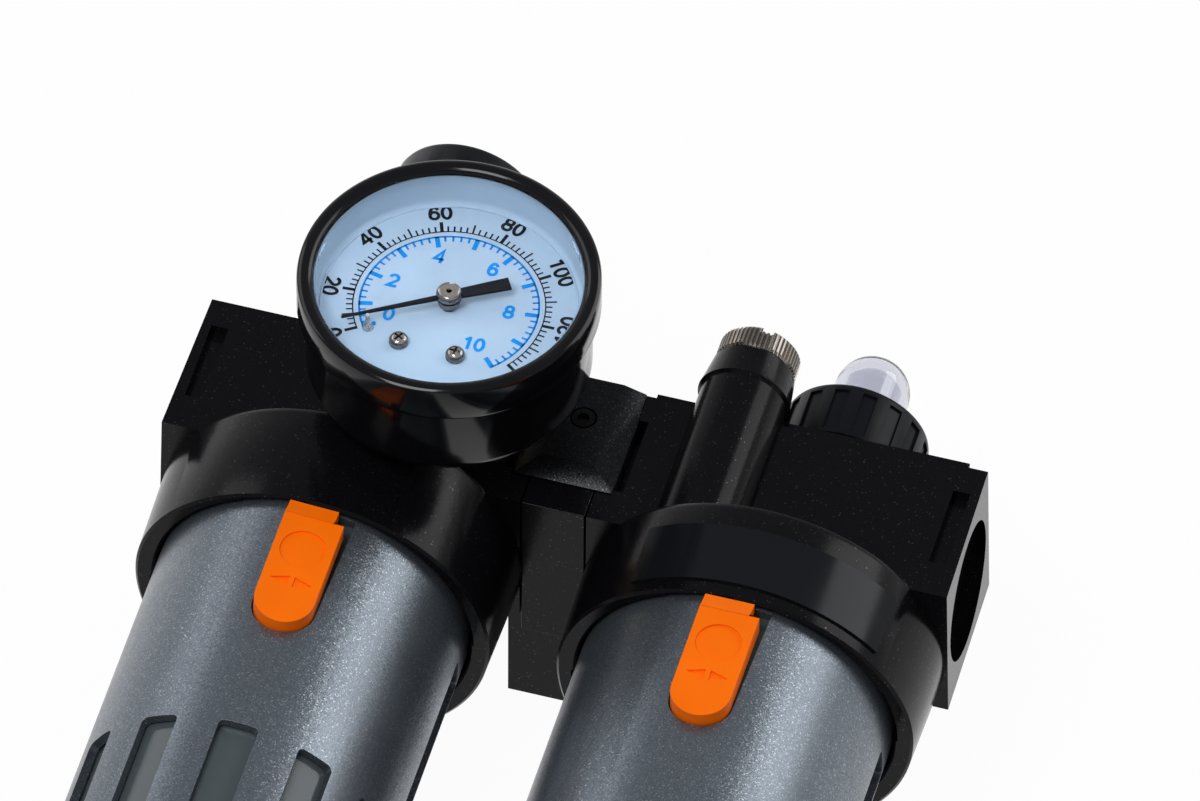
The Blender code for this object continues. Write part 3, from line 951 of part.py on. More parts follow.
def lubricator_body():
    body = unit_casting("lubricator_body", 1, LUBRICATOR)
    at = (-FILLER_X, -BOX_FRONT)
    boss_neck = FILLER_BOSS_R - 0.6 * mm
    boss = lathe([(0, FILLER_BOSS_TOP), (FILLER_BOSS_TOP_R, FILLER_BOSS_TOP),
                  (FILLER_BOSS_R - 0.2 * mm, FILLER_BOSS_SHOULDER + 1 * mm),
                  (FILLER_BOSS_R, FILLER_BOSS_SHOULDER), (boss_neck, FILLER_BOSS_SHOULDER - 0.6 * mm),
                  (boss_neck, -BOX_BOTTOM), (0, -BOX_BOTTOM)], 24, None, at)
    combine(body, boss, 'UNION')
    combine(body, rod(DOME_PAD_R, BOX_TOP - 2 * mm, DOME_PAD_TOP, 28, None, (DOME_X, 0)), 'UNION')
    across = UNIT_HALF - DOME_PAD_EDGE
    inset = DOME_PAD_EDGE * 0.6
    pad = block((-across, -BOX_FRONT + inset, BOX_TOP - 2 * mm), (across, BOX_REAR - inset, DOME_PAD_TOP),
                1.2 * mm, segments=1)
    combine(body, pad, 'UNION')
    seat_r = FILLER_SEAL_R + CLEAR
    seat_low = FILLER_BOSS_TOP - FILLER_SEAL_T - CLEAR
    bore = lathe([(0, FILLER_BOSS_TOP + mm), (seat_r, FILLER_BOSS_TOP + mm), (seat_r, seat_low),
                  (FILLER_BORE_R, seat_low), (FILLER_BORE_R, -CEILING - mm), (0, -CEILING - mm)],
                 20, None, at)
    combine(body, bore, 'DIFFERENCE')

    # Sight chamber on top, drip passage into the outlet side and siphon bore to the bowl
    chamber = rod(DOME_FLANGE_R + CLEAR, DOME_SEAT - CLEAR, DOME_PAD_TOP + mm, 20, None, (DOME_X, 0))
    combine(body, chamber, 'DIFFERENCE')
    siphon_bore = rod(SIPHON_R + 0.1 * mm, -CEILING - mm, -SIPHON_TOP / 2, 20, None, (0, -SIPHON_FORWARD))
    combine(body, siphon_bore, 'DIFFERENCE')
    drip_way = rod(DRIP_BORE_R + 0.1 * mm, -1 * mm, DOME_SEAT + mm, 10, None, (DOME_X + DOME_R - 2 * mm, 0))
    combine(body, drip_way, 'DIFFERENCE')
    cross = rod(CROSS_R, -UNIT_HALF + PORT_DEPTH - 2 * mm, PORT_FLOOR - PORT_DEPTH + 2 * mm, 20)
    combine(body, along(cross, TO_X, (0, -PORT_FORWARD, 0)), 'DIFFERENCE')
    return body


def lubricator_parts():
    at = LUBRICATOR + Vector((-FILLER_X, -BOX_FRONT, 0))
    head_low = FILLER_BOSS_TOP + CLEAR
    head_top = head_low + PLUG_HEAD_T
    shank_low = head_low - PLUG_LIFT - PLUG_HOLD
    shank_r = FILLER_BORE_R - CLEAR
    plug = place("filler_plug", lathe([
        (0, head_top), (PLUG_R - 0.6 * mm, head_top), (PLUG_R, head_top - 0.6 * mm), (PLUG_R, head_low),
        (shank_r, head_low), (shank_r, shank_low + 0.6 * mm), (shank_r - 0.6 * mm, shank_low),
        (0, shank_low)], 24), STEEL, at)
    slot = block((-PLUG_SLOT_WIDTH / 2, -PLUG_R - mm, head_top - PLUG_SLOT_DEPTH),
                 (PLUG_SLOT_WIDTH / 2, PLUG_R + mm, head_top + mm))
    bmesh.ops.rotate(slot, cent=(0, 0, 0), matrix=Matrix.Rotation(math.radians(12), 3, 'Z'), verts=slot.verts)
    combine(plug, slot, 'DIFFERENCE')
    seal_low = FILLER_BOSS_TOP - FILLER_SEAL_T
    place("filler_seal", tube(FILLER_SEAL_R, FILLER_BORE_R + 0.1 * mm, seal_low, FILLER_BOSS_TOP, 24),
          RUBBER, at)

    dome_at = LUBRICATOR + Vector((DOME_X, 0, 0))
    inner = DOME_R - DOME_WALL
    arc = [math.radians(90 * k / 4) for k in range(5)]
    outside = [(DOME_R * math.sin(a), DOME_SHOULDER + DOME_R * math.cos(a)) for a in arc]
    inside = [(inner * math.sin(a), DOME_SHOULDER + inner * math.cos(a)) for a in reversed(arc)]
    flange_low = DOME_SEAT + 2 * DOME_SEAL_WIRE + CLEAR
    flange_top = flange_low + DOME_FLANGE_T
    place("sight_dome", lathe(outside + [
        (DOME_R, flange_top), (DOME_FLANGE_R, flange_top), (DOME_FLANGE_R, flange_low),
        (inner, flange_low)] + inside, 24), CLEAR_DOME, dome_at)
    place("dome_seal", torus((inner + DOME_FLANGE_R) / 2 + 0.4 * mm, DOME_SEAL_WIRE, 24), RUBBER,
          dome_at + Vector((0, 0, DOME_SEAT + DOME_SEAL_WIRE)))
    ring_low = max(DOME_PAD_TOP, flange_top) + CLEAR
    ring_bore = DOME_R + CLEAR
    skirt_r = RING_R - 1.1 * mm
    ring = place("dome_ring", lathe([
        (ring_bore + 0.8 * mm, RING_TOP), (RING_R - 0.8 * mm, RING_TOP), (RING_R, RING_TOP - 0.8 * mm),
        (RING_R, ring_low + 2.4 * mm), (skirt_r, ring_low + 1.8 * mm), (skirt_r, ring_low),
        (ring_bore, ring_low), (ring_bore, RING_TOP - 0.8 * mm)], 24), BLACK_PLASTIC, dome_at)
    notch = sector(RING_R - RING_NOTCH_DEPTH, RING_R + mm, math.pi / RING_NOTCHES, RING_NOTCH_WIDTH / RING_R,
                   ring_low + 3.4 * mm, RING_TOP - 1.6 * mm, None, 1)
    notches = ring_of(notch, RING_NOTCHES)
    combine(ring, notches, 'DIFFERENCE')
    foot_r = DRIP_R + 1.4 * mm
    place("drip_tube", lathe([
        (DRIP_BORE_R, DRIP_TOP), (DRIP_R - 0.5 * mm, DRIP_TOP), (DRIP_R, DRIP_TOP - 0.8 * mm),
        (DRIP_R, DOME_SEAT + 3 * mm), (foot_r, DOME_SEAT + 2.4 * mm), (foot_r, DOME_SEAT),
        (DRIP_BORE_R, DOME_SEAT)], 12), BRASS, dome_at)

    siphon_at = LUBRICATOR + Vector((0, -SIPHON_FORWARD, 0))
    siphon_tube = tube(SIPHON_R - 0.2 * mm, SIPHON_BORE_R, -SIPHON_BOTTOM, -SIPHON_TOP, 12)
    place("siphon_tube", siphon_tube, NATURAL_PLASTIC, siphon_at)
    socket_r = SIPHON_R + 0.1 * mm
    socket_low = -SIPHON_BOTTOM - CLEAR
    strainer_low = -SIPHON_BOTTOM - STRAINER_T * 0.4
    strainer_top = strainer_low + STRAINER_T
    place("siphon_strainer", lathe([
        (socket_r, strainer_top), (STRAINER_R, strainer_top), (STRAINER_R, strainer_low),
        (SIPHON_BORE_R, strainer_low), (SIPHON_BORE_R, socket_low), (socket_r, socket_low)], 14),
        SINTERED, siphon_at)


regulator_body()
regulating_parts()
filter_parts()
bowl_set("filter", REGULATOR, True)
drain()
gauge()
joint_parts()
lubricator_body()
lubricator_parts()
bowl_set("lubricator", LUBRICATOR, False)
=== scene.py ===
"""The dressed look of the air preparation set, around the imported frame.

The two castings, the guards, the gauge, the knob, the plug and the buttons are
remade here with finer curves; the inner pieces keep their CAD solids.
"""

import math

import bmesh
import bpy
from mathutils import Matrix, Vector


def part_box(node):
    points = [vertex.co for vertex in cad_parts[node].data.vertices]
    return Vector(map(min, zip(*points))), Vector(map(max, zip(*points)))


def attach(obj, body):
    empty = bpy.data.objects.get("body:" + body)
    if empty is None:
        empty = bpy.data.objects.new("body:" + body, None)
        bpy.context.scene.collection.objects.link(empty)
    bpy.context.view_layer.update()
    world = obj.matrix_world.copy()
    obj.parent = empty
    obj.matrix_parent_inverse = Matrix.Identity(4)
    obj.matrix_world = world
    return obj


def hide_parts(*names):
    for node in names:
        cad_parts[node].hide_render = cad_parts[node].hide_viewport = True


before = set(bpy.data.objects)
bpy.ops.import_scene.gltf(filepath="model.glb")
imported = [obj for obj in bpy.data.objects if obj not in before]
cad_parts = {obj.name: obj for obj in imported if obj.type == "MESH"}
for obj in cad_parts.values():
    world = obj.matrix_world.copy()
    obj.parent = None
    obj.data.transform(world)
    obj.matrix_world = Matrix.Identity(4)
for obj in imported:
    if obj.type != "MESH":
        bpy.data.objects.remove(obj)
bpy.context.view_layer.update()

mm = 0.001
CLEAR = 0.3 * mm


def span(node, axis):
    """Lowest and highest place of a CAD node along one axis."""
    low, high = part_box(node)
    return low[axis], high[axis]


def middle(node, axis):
    low, high = span(node, axis)
    return (low + high) / 2


# Places read from the frame: unit axes, gauge, plug and dome
REG_X = middle("filter_bowl", 0)
LUB_X = middle("lubricator_bowl", 0)
BOWL_Y = middle("filter_bowl", 1)
REGULATOR = Vector((REG_X, BOWL_Y, 0))
LUBRICATOR = Vector((LUB_X, BOWL_Y, 0))
GAUGE = Vector((middle("gauge_case", 0), span("gauge_case", 1)[1], middle("gauge_case", 2)))
PLUG = Vector((middle("filler_plug", 0), middle("filler_plug", 1), 0))
DOME = Vector((middle("sight_dome", 0), middle("sight_dome", 1), 0))
STEM = Vector((0, BOWL_Y, 0))

# Castings
UNIT_HALF = 32.3 * mm
BOX_TOP = 14.6 * mm
BOX_BOTTOM = 14.6 * mm
BOX_FRONT = 18.3 * mm
BOX_REAR = 12.6 * mm
DRAFT_DOWN = 0.5 * mm
DRAFT_BACK = 0.8 * mm
EDGE_ROUND = 0.55 * mm
COLLAR_R = 32.7 * mm
COLLAR_RIM_R = 32.2 * mm
COLLAR_TOP = 12.6 * mm
COLLAR_RIM = 33.8 * mm
COLLAR_BORE_R = 29.0 * mm
CEILING = 16.8 * mm
LEDGE_R = 28.7 * mm
LEDGE_TOP = 29.2 * mm
GROOVE_R = 29.5 * mm
FRONT_FLAT = 0.925
GROOVE_TOP = 23.8 * mm
LUG_COUNT = 4
LUG_ANGLE = math.radians(22)
LUG_HEIGHT = 3.0 * mm
LUG_START = math.radians(45)
BAYONET_TURN = math.radians(32)
PORT_RECESS_R = 12.6 * mm
PORT_RECESS_DEPTH = 2.6 * mm
PORT_R = 6.6 * mm
PORT_FORWARD = 2.85 * mm
PORT_DEPTH = 15.0 * mm
THREAD_PITCH = 1.337 * mm
THREAD_CRESTS = 8
SLOT_EDGE = 1.6 * mm
SLOT_WIDTH = 3.1 * mm
SLOT_TOP = 8.9 * mm
SLOT_BOTTOM = 7.6 * mm
SLOT_DEPTH = 3.6 * mm
OUTER_SLOT_LESS = 1.4 * mm
TOWER_R = 17.6 * mm
BONNET_RECESS_R = 15.3 * mm
BONNET_SEAT = 8.5 * mm
VALVE_BORE_R = 9.6 * mm
DECK_TOP = 17.4 * mm

# Guards and buttons
GUARD_R = 28.2 * mm
GUARD_WALL = 1.6 * mm
GUARD_TOP = 21.8 * mm
GUARD_BOTTOM = 124.2 * mm
GUARD_FLOOR_R = 15.0 * mm
WINDOW_COUNT = 12
WINDOW_WIDTH = 7.1 * mm
WINDOW_CORNER = WINDOW_WIDTH * 0.15
WINDOW_TOP = 82.8 * mm
WINDOW_BOTTOM = 110.2 * mm
SIDE_SLOT_TOP = 38.8 * mm
BUTTON_HALF = 5.35 * mm
BUTTON_TAB_EDGE = 3.5 * mm
BUTTON_TOP = 34.1 * mm
BUTTON_STEP = 37.6 * mm
BUTTON_TIP = 61.2 * mm
BUTTON_PROUD = 2.4 * mm
BUTTON_BACK_R = 27.5 * mm
BUTTON_MARK = 44.7 * mm
GUARD_SET = math.radians(3.6)

# Gauge, measured forward from the rear of its case
GAUGE_FRONT = 24.2 * mm
BEZEL_R = 26.5 * mm
CASE_R = 25.0 * mm
CASE_LENGTH = 19.7 * mm
WINDOW_R = 23.5 * mm
BEZEL_SKIRT = 7.6 * mm
DIAL_FRONT = 15.6 * mm
POINTER_FRONT = 18.6 * mm
POINTER_ZERO = math.radians(210.5)
LIP = 1.3 * mm
BLACK_ARC_R = 16.65 * mm
BLUE_ARC_R = 15.8 * mm
SCALE_STEP = math.radians(1.834)
SCALE_TOP = math.radians(92.0)
SCALE_TOP_PSI = 70
FIRST_PSI = 4
PSI_PER_BAR = 14.5038
LAST_PSI = 140
STROKE = 0.205
DIGIT_PITCH = 0.72
PRINT_LIFT = 0.04 * mm

TO_X = Matrix.Rotation(math.radians(90), 4, 'Y')
TO_FRONT = Matrix.Rotation(math.radians(90), 4, 'X')
FACE_FRONT = (math.radians(90), 0, 0)
SIDEWAYS = Matrix(((0, 0, 1, 0), (1, 0, 0, 0), (0, 1, 0, 0), (0, 0, 0, 1)))


# Materials

FLAKES_PER_METRE = 5200


def new_material(name):
    mat = bpy.data.materials.new(name)
    mat.use_nodes = True
    nodes = mat.node_tree.nodes
    return mat, nodes, mat.node_tree.links, nodes["Principled BSDF"]


def noise(nodes, scale, detail=3.0, roughness=0.5):
    node = nodes.new("ShaderNodeTexNoise")
    node.inputs["Scale"].default_value = scale
    node.inputs["Detail"].default_value = detail
    node.inputs["Roughness"].default_value = roughness
    return node


def object_coordinates(nodes, links, *textures):
    place = nodes.new("ShaderNodeNewGeometry")
    for texture in textures:
        links.new(place.outputs["Position"], texture.inputs["Vector"])
    return place


def ramp(nodes, links, source, low, high, first, last):
    """Map a value between two stops to two greys or colours."""
    node = nodes.new("ShaderNodeValToRGB")
    node.color_ramp.elements[0].position = low
    node.color_ramp.elements[1].position = high
    node.color_ramp.elements[0].color = first
    node.color_ramp.elements[1].color = last
    links.new(source, node.inputs["Fac"])
    return node.outputs["Color"]


def grey(value):
    return (value, value, value, 1)


def bumped(nodes, links, shader, source, strength, distance):
    node = nodes.new("ShaderNodeBump")
    node.inputs["Strength"].default_value = strength
    node.inputs["Distance"].default_value = distance
    links.new(source, node.inputs["Height"])
    links.new(node.outputs["Normal"], shader.inputs["Normal"])
    return node


def uneven_gloss(nodes, links, shader, source, roughness, less, more):
    """Roughness that wanders a little over the surface."""
    gloss = ramp(nodes, links, source, 0.3, 0.7, grey(roughness * less), grey(roughness * more))
    links.new(gloss, shader.inputs["Roughness"])


def reckon(nodes, links, operation, first, second):
    """A Math node with two linked inputs; a plain number is set on its socket."""
    node = nodes.new("ShaderNodeMath")
    node.operation = operation
    for source, socket in zip((first, second), node.inputs):
        if isinstance(source, float):
            socket.default_value = source
        else:
            links.new(source, socket)
    return node.outputs["Value"]


def mix_shaders(nodes, links, share, first, second):
    """Mix two shaders; share is a number or the socket that gives it."""
    mix = nodes.new("ShaderNodeMixShader")
    if isinstance(share, float):
        mix.inputs["Fac"].default_value = share
    else:
        links.new(share, mix.inputs["Fac"])
    links.new(first, mix.inputs[1])
    links.new(second, mix.inputs[2])
    return mix.outputs["Shader"]


def flake_paint(name, color, spread, flake_color, roughness, metallic, rare, tilt, specular):
    """Paint with fine metal flakes, each with its own tone and tilt, and a few bright ones."""
    mat, nodes, links, shader = new_material(name)
    flakes = nodes.new("ShaderNodeTexVoronoi")
    flakes.inputs["Scale"].default_value = FLAKES_PER_METRE
    grain = noise(nodes, 900, 4)
    cloud = noise(nodes, 60, 3)
    object_coordinates(nodes, links, flakes, grain, cloud)
    parts = nodes.new("ShaderNodeSeparateColor")
    links.new(flakes.outputs["Color"], parts.inputs["Color"])
    dark = tuple(c * (1 - spread) for c in color)
    light = tuple(c * (1 + spread) for c in color)
    tone = ramp(nodes, links, parts.outputs["Green"], 0, 1, (*dark, 1), (*light, 1))
    mask = ramp(nodes, links, parts.outputs["Red"], 1 - rare, 1 - rare * 0.4, grey(0), grey(1))
    mix = nodes.new("ShaderNodeMix")
    mix.data_type = 'RGBA'
    mix.inputs["B"].default_value = (*flake_color, 1)
    links.new(tone, mix.inputs["A"])
    links.new(mask, mix.inputs["Factor"])
    links.new(mix.outputs["Result"], shader.inputs["Base Color"])
    links.new(ramp(nodes, links, mask, 0, 1, grey(metallic), grey(0.9)), shader.inputs["Metallic"])
    uneven_gloss(nodes, links, shader, cloud.outputs["Fac"], roughness, 0.9, 1.1)
    shader.inputs["Specular IOR Level"].default_value = specular
    centred = nodes.new("ShaderNodeVectorMath")
    centred.operation = 'SUBTRACT'
    links.new(flakes.outputs["Color"], centred.inputs[0])
    centred.inputs[1].default_value = (0.5, 0.5, 0.5)
    scaled = nodes.new("ShaderNodeVectorMath")
    scaled.operation = 'SCALE'
    scaled.inputs["Scale"].default_value = tilt
    links.new(centred.outputs["Vector"], scaled.inputs[0])
    bump = nodes.new("ShaderNodeBump")
    bump.inputs["Strength"].default_value = 0.2
    bump.inputs["Distance"].default_value = 0.02 * mm
    links.new(grain.outputs["Fac"], bump.inputs["Height"])
    added = nodes.new("ShaderNodeVectorMath")
    links.new(bump.outputs["Normal"], added.inputs[0])
    links.new(scaled.outputs["Vector"], added.inputs[1])
    unit = nodes.new("ShaderNodeVectorMath")
    unit.operation = 'NORMALIZE'
    links.new(added.outputs["Vector"], unit.inputs[0])
    links.new(unit.outputs["Vector"], shader.inputs["Normal"])
    return mat


def plastic(name, color, roughness, grain_scale=1400, grain_depth=0.01, specular=0.5, scatter=0.0):
    """Moulded plastic: even colour with a faint grain and uneven gloss."""
    mat, nodes, links, shader = new_material(name)
    grain = noise(nodes, grain_scale, 4)
    cloud = noise(nodes, 90, 3)
    object_coordinates(nodes, links, grain, cloud)
    dark = tuple(c * 0.93 for c in color)
    links.new(ramp(nodes, links, cloud.outputs["Fac"], 0.3, 0.7, (*dark, 1), (*color, 1)),
              shader.inputs["Base Color"])
    uneven_gloss(nodes, links, shader, cloud.outputs["Fac"], roughness, 0.85, 1.15)
    shader.inputs["Specular IOR Level"].default_value = specular
    if scatter:
        shader.inputs["Subsurface Weight"].default_value = scatter
        shader.inputs["Subsurface Scale"].default_value = 0.001
    bumped(nodes, links, shader, grain.outputs["Fac"], 0.3, grain_depth * mm)
    return mat


def metal(name, color, roughness, scratch_scale=(2500, 2500, 2500), wear=0.12):
    """Bare metal with fine machining marks and uneven gloss."""
    mat, nodes, links, shader = new_material(name)
    marks = noise(nodes, 1, 4)
    cloud = noise(nodes, 250, 3)
    place = object_coordinates(nodes, links, cloud)
    stretch = nodes.new("ShaderNodeMapping")
    stretch.inputs["Scale"].default_value = scratch_scale
    links.new(place.outputs["Position"], stretch.inputs["Vector"])
    links.new(stretch.outputs["Vector"], marks.inputs["Vector"])
    dark = tuple(c * (1 - wear) for c in color)
    links.new(ramp(nodes, links, cloud.outputs["Fac"], 0.35, 0.65, (*dark, 1), (*color, 1)),
              shader.inputs["Base Color"])
    shader.inputs["Metallic"].default_value = 1.0
    uneven_gloss(nodes, links, shader, marks.outputs["Fac"], roughness, 0.7, 1.3)
    bumped(nodes, links, shader, marks.outputs["Fac"], 0.25, 0.01 * mm)
    return mat


def clear(name, color, roughness, ior, clarity=1.0):
    """Clear plastic or glass that lets lamps through to what lies behind it."""
    mat, nodes, links, shader = new_material(name)
    haze = noise(nodes, 300, 3)
    object_coordinates(nodes, links, haze)
    shader.inputs["Base Color"].default_value = (*color, 1)
    shader.inputs["Transmission Weight"].default_value = clarity
    shader.inputs["IOR"].default_value = ior
    links.new(ramp(nodes, links, haze.outputs["Fac"], 0.35, 0.75, grey(roughness), grey(roughness + 0.03)),
              shader.inputs["Roughness"])
    path = nodes.new("ShaderNodeLightPath")
    through = nodes.new("ShaderNodeBsdfTransparent")
    through.inputs["Color"].default_value = (*color, 1)
    mix = mix_shaders(nodes, links, path.outputs["Is Shadow Ray"], shader.outputs["BSDF"],
                      through.outputs["BSDF"])
    links.new(mix, nodes["Material Output"].inputs["Surface"])
    return mat


def porous(name, color):
    """Sintered beads of the filter and the strainer, darker in the gaps between them as painted shade."""
    mat, nodes, links, shader = new_material(name)
    beads = nodes.new("ShaderNodeTexVoronoi")
    beads.inputs["Scale"].default_value = 1600
    object_coordinates(nodes, links, beads)
    # The darker colour towards the bead edges is painted shade in the pores between the beads.
    dark = tuple(c * 0.55 for c in color)
    links.new(ramp(nodes, links, beads.outputs["Distance"], 0.1, 0.7, (*color, 1), (*dark, 1)),
              shader.inputs["Base Color"])
    shader.inputs["Roughness"].default_value = 0.9
    bumped(nodes, links, shader, beads.outputs["Distance"], 0.8, -0.12 * mm)
    return mat


CASTING = flake_paint("casting_paint", (0.0032, 0.0031, 0.0040), 0.3, (0.07, 0.07, 0.075), 0.18, 0.0,
                      0.012, 0.03, 0.11)
CLAMP_PAINT = flake_paint("clamp_paint", (0.010, 0.0105, 0.012), 0.5, (0.05, 0.05, 0.056), 0.30, 0.5, 0.05,
                          0.09, 0.16)
GUARD_PAINT = flake_paint("guard_paint", (0.148, 0.170, 0.196), 0.22, (0.33, 0.36, 0.40), 0.32, 0.8, 0.08,
                          0.11, 0.5)
ORANGE = plastic("orange_button", (1.0, 0.165, 0.0), 0.38, 1600, 0.006, 0.12, 0.0)
BLACK = plastic("black_moulding", (0.0045, 0.005, 0.0075), 0.32, 1300, 0.012, 0.12)
BEZEL = plastic("bezel_enamel", (0.0035, 0.0035, 0.0045), 0.12, 500, 0.005, 0.24)
DIAL = plastic("dial_enamel", (0.245, 0.335, 0.43), 0.5, 900, 0.003, 0.2)
PRINT_BLACK = plastic("dial_black_print", (0.006, 0.006, 0.008), 0.6, specular=0.1)
PRINT_BLUE = plastic("dial_blue_print", (0.0, 0.16, 0.47), 0.6, specular=0.1)
DARK_STEEL = metal("dark_steel", (0.24, 0.22, 0.205), 0.14)
BLACKED_STEEL = metal("blacked_steel", (0.014, 0.014, 0.015), 0.3)
STEEL = metal("plain_steel", (0.58, 0.57, 0.55), 0.25)
NICKEL = metal("nickel_knurl", (0.34, 0.31, 0.28), 0.26, (1800, 1800, 9000), 0.3)
BRASS = metal("machined_brass", (0.62, 0.40, 0.16), 0.28)
RUBBER = plastic("seal_rubber", (0.014, 0.014, 0.014), 0.75, 2200, 0.03)
BOWL = clear("bowl_plastic", (0.11, 0.135, 0.145), 0.14, 1.4, 0.45)
GLASS = clear("dome_plastic", (0.66, 0.67, 0.74), 0.02, 1.49)
LENS = clear("lens_plastic", (0.97, 0.98, 1.0), 0.01, 1.03)
SINTERED = porous("sintered_beads", (0.62, 0.61, 0.55))
NATURAL = plastic("natural_nylon", (0.62, 0.61, 0.55), 0.5, 900, 0.01, 0.4, 0.1)
FILM = plastic("bare_film", (0.006, 0.007, 0.009), 0.16, 400, 0.006, 0.16)


# Shapes

def piece(name, bm, mat, body, replaced=(), at=(0, 0, 0), rotation=(0, 0, 0), bevel=0.0, sharp=32):
    """Turn a bmesh into a named piece that rides on a body of the frame."""
    bmesh.ops.recalc_face_normals(bm, faces=bm.faces)
    mesh = bpy.data.meshes.new(name)
    bm.to_mesh(mesh)
    bm.free()
    mesh.shade_smooth()
    mesh.set_sharp_from_angle(angle=math.radians(sharp))
    mesh.materials.append(mat)
    obj = bpy.data.objects.new(name, mesh)
    obj.location = at
    obj.rotation_euler = rotation
    bpy.context.scene.collection.objects.link(obj)
    if replaced:
        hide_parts(*replaced)
    obj["rides_on"] = body
    obj["bevel"] = bevel
    obj["sharp"] = sharp
    return obj


def combine(obj, bm, operation):
    """Cut a piece with a tool body, or join one to it, and keep the result as plain mesh."""
    bmesh.ops.recalc_face_normals(bm, faces=bm.faces)
    mesh = bpy.data.meshes.new("tool")
    bm.to_mesh(mesh)
    bm.free()
    tool = bpy.data.objects.new("tool", mesh)
    tool.matrix_basis = obj.matrix_basis
    bpy.context.scene.collection.objects.link(tool)
    modifier = obj.modifiers.new(operation, 'BOOLEAN')
    modifier.operation = operation
    modifier.solver = 'EXACT'
    modifier.object = tool
    graph = bpy.context.evaluated_depsgraph_get()
    made = bpy.data.meshes.new_from_object(obj.evaluated_get(graph), depsgraph=graph)
    obj.modifiers.remove(modifier)
    bpy.data.objects.remove(tool, do_unlink=True)
    mat = obj.data.materials[0]
    obj.data = made
    made.materials.clear()
    made.materials.append(mat)


def settle(obj):
    """Round the edges of a finished piece and let it ride on its body."""
    obj.data.shade_smooth()
    obj.data.set_sharp_from_angle(angle=math.radians(obj["sharp"]))
    if obj["bevel"]:
        rounding = obj.modifiers.new("rounding", 'BEVEL')
        rounding.width = obj["bevel"]
        rounding.segments = 3
        rounding.limit_method = 'ANGLE'
        rounding.angle_limit = math.radians(obj["sharp"])
        rounding.harden_normals = True
        rounding.use_clamp_overlap = True
    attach(obj, obj["rides_on"])
    return obj


def lathe(profile, steps=96, bm=None, center=(0, 0)):
    """Revolve (radius, height) points; a profile that starts on the axis also ends there."""
    bm = bm or bmesh.new()
    verts = [bm.verts.new((center[0] + r, center[1], z)) for r, z in profile]
    edges = [bm.edges.new(pair) for pair in zip(verts, verts[1:])]
    if profile[0][0] > 0:
        edges.append(bm.edges.new((verts[-1], verts[0])))
    bmesh.ops.spin(bm, geom=verts + edges, cent=(*center, 0), axis=(0, 0, 1),
                   angle=math.tau, steps=steps, use_merge=True)
    bmesh.ops.remove_doubles(bm, verts=bm.verts, dist=1e-6)
    bmesh.ops.recalc_face_normals(bm, faces=bm.faces)
    return bm


def up(base, *points):
    """Profile points in millimetres, with heights above a base."""
    return [(r * mm, base + z * mm) for r, z in points]


def rod(radius, low, high, steps=48, bm=None, center=(0, 0)):
    return lathe([(0, high), (radius, high), (radius, low), (0, low)], steps, bm, center)


def block(low, high, rounding=0.0, bm=None, only=None, segments=4):
    """Make a box between two corners; only picks the edges to round by direction."""
    bm = bm or bmesh.new()
    size = [h - l for l, h in zip(low, high)]
    centre = [(h + l) / 2 for l, h in zip(low, high)]
    matrix = Matrix.Translation(centre) @ Matrix.Diagonal((*size, 1))
    made = bmesh.ops.create_cube(bm, size=1, matrix=matrix)["verts"]
    if rounding:
        edges = {e for v in made for e in v.link_edges}
        if only is not None:
            edges = {e for e in edges if abs((e.verts[0].co - e.verts[1].co)[only]) > 1e-6}
        bmesh.ops.bevel(bm, geom=list(edges), offset=rounding, segments=segments, affect='EDGES',
                        profile=0.5)
    return bm


def prism(outline, low, high, bm=None):
    """Extrude an (x, y) outline from one height to another."""
    bm = bm or bmesh.new()
    face = bm.faces.new([bm.verts.new((x, y, low)) for x, y in outline])
    top = bmesh.ops.extrude_face_region(bm, geom=[face])["geom"]
    bmesh.ops.translate(bm, vec=(0, 0, high - low),
                        verts=[v for v in top if isinstance(v, bmesh.types.BMVert)])
    bmesh.ops.recalc_face_normals(bm, faces=bm.faces)
    return bm


def sector(inner, outer, centre, width, low, high, parts=12):
    """Make a piece of a ring, centred on an angle seen from above."""
    angles = [centre + width * (k / parts - 0.5) for k in range(parts + 1)]
    arc = [(outer * math.cos(a), outer * math.sin(a)) for a in angles]
    back = [(inner * math.cos(a), inner * math.sin(a)) for a in reversed(angles)]
    return prism(arc + back, low, high)


def along(bm, rotation, shift=(0, 0, 0)):
    """Turn and move all of a bmesh in place."""
    bmesh.ops.transform(bm, matrix=Matrix.Translation(shift) @ rotation, verts=bm.verts)
    return bm


def swung(bm, angle):
    """Turn all of a bmesh about the upright axis."""
    bmesh.ops.rotate(bm, cent=(0, 0, 0), matrix=Matrix.Rotation(angle, 3, 'Z'), verts=bm.verts)
    return bm


def ring_of(bm, count):
    """Repeat all of a bmesh around the upright axis."""
    first = list(bm.verts) + list(bm.edges) + list(bm.faces)
    for k in range(1, count):
        copy = bmesh.ops.duplicate(bm, geom=first)["geom"]
        verts = [item for item in copy if isinstance(item, bmesh.types.BMVert)]
        bmesh.ops.rotate(bm, cent=(0, 0, 0), matrix=Matrix.Rotation(math.tau * k / count, 3, 'Z'),
                         verts=verts)
    return bm


# Castings

def flatten_front(bm):
    """Press the front half of a collar's outer skin towards its axis."""
    for vert in bm.verts:
        if vert.co.y < 0 and vert.co.xy.length > GROOVE_R + 0.1 * mm:
            vert.co.y *= FRONT_FLAT


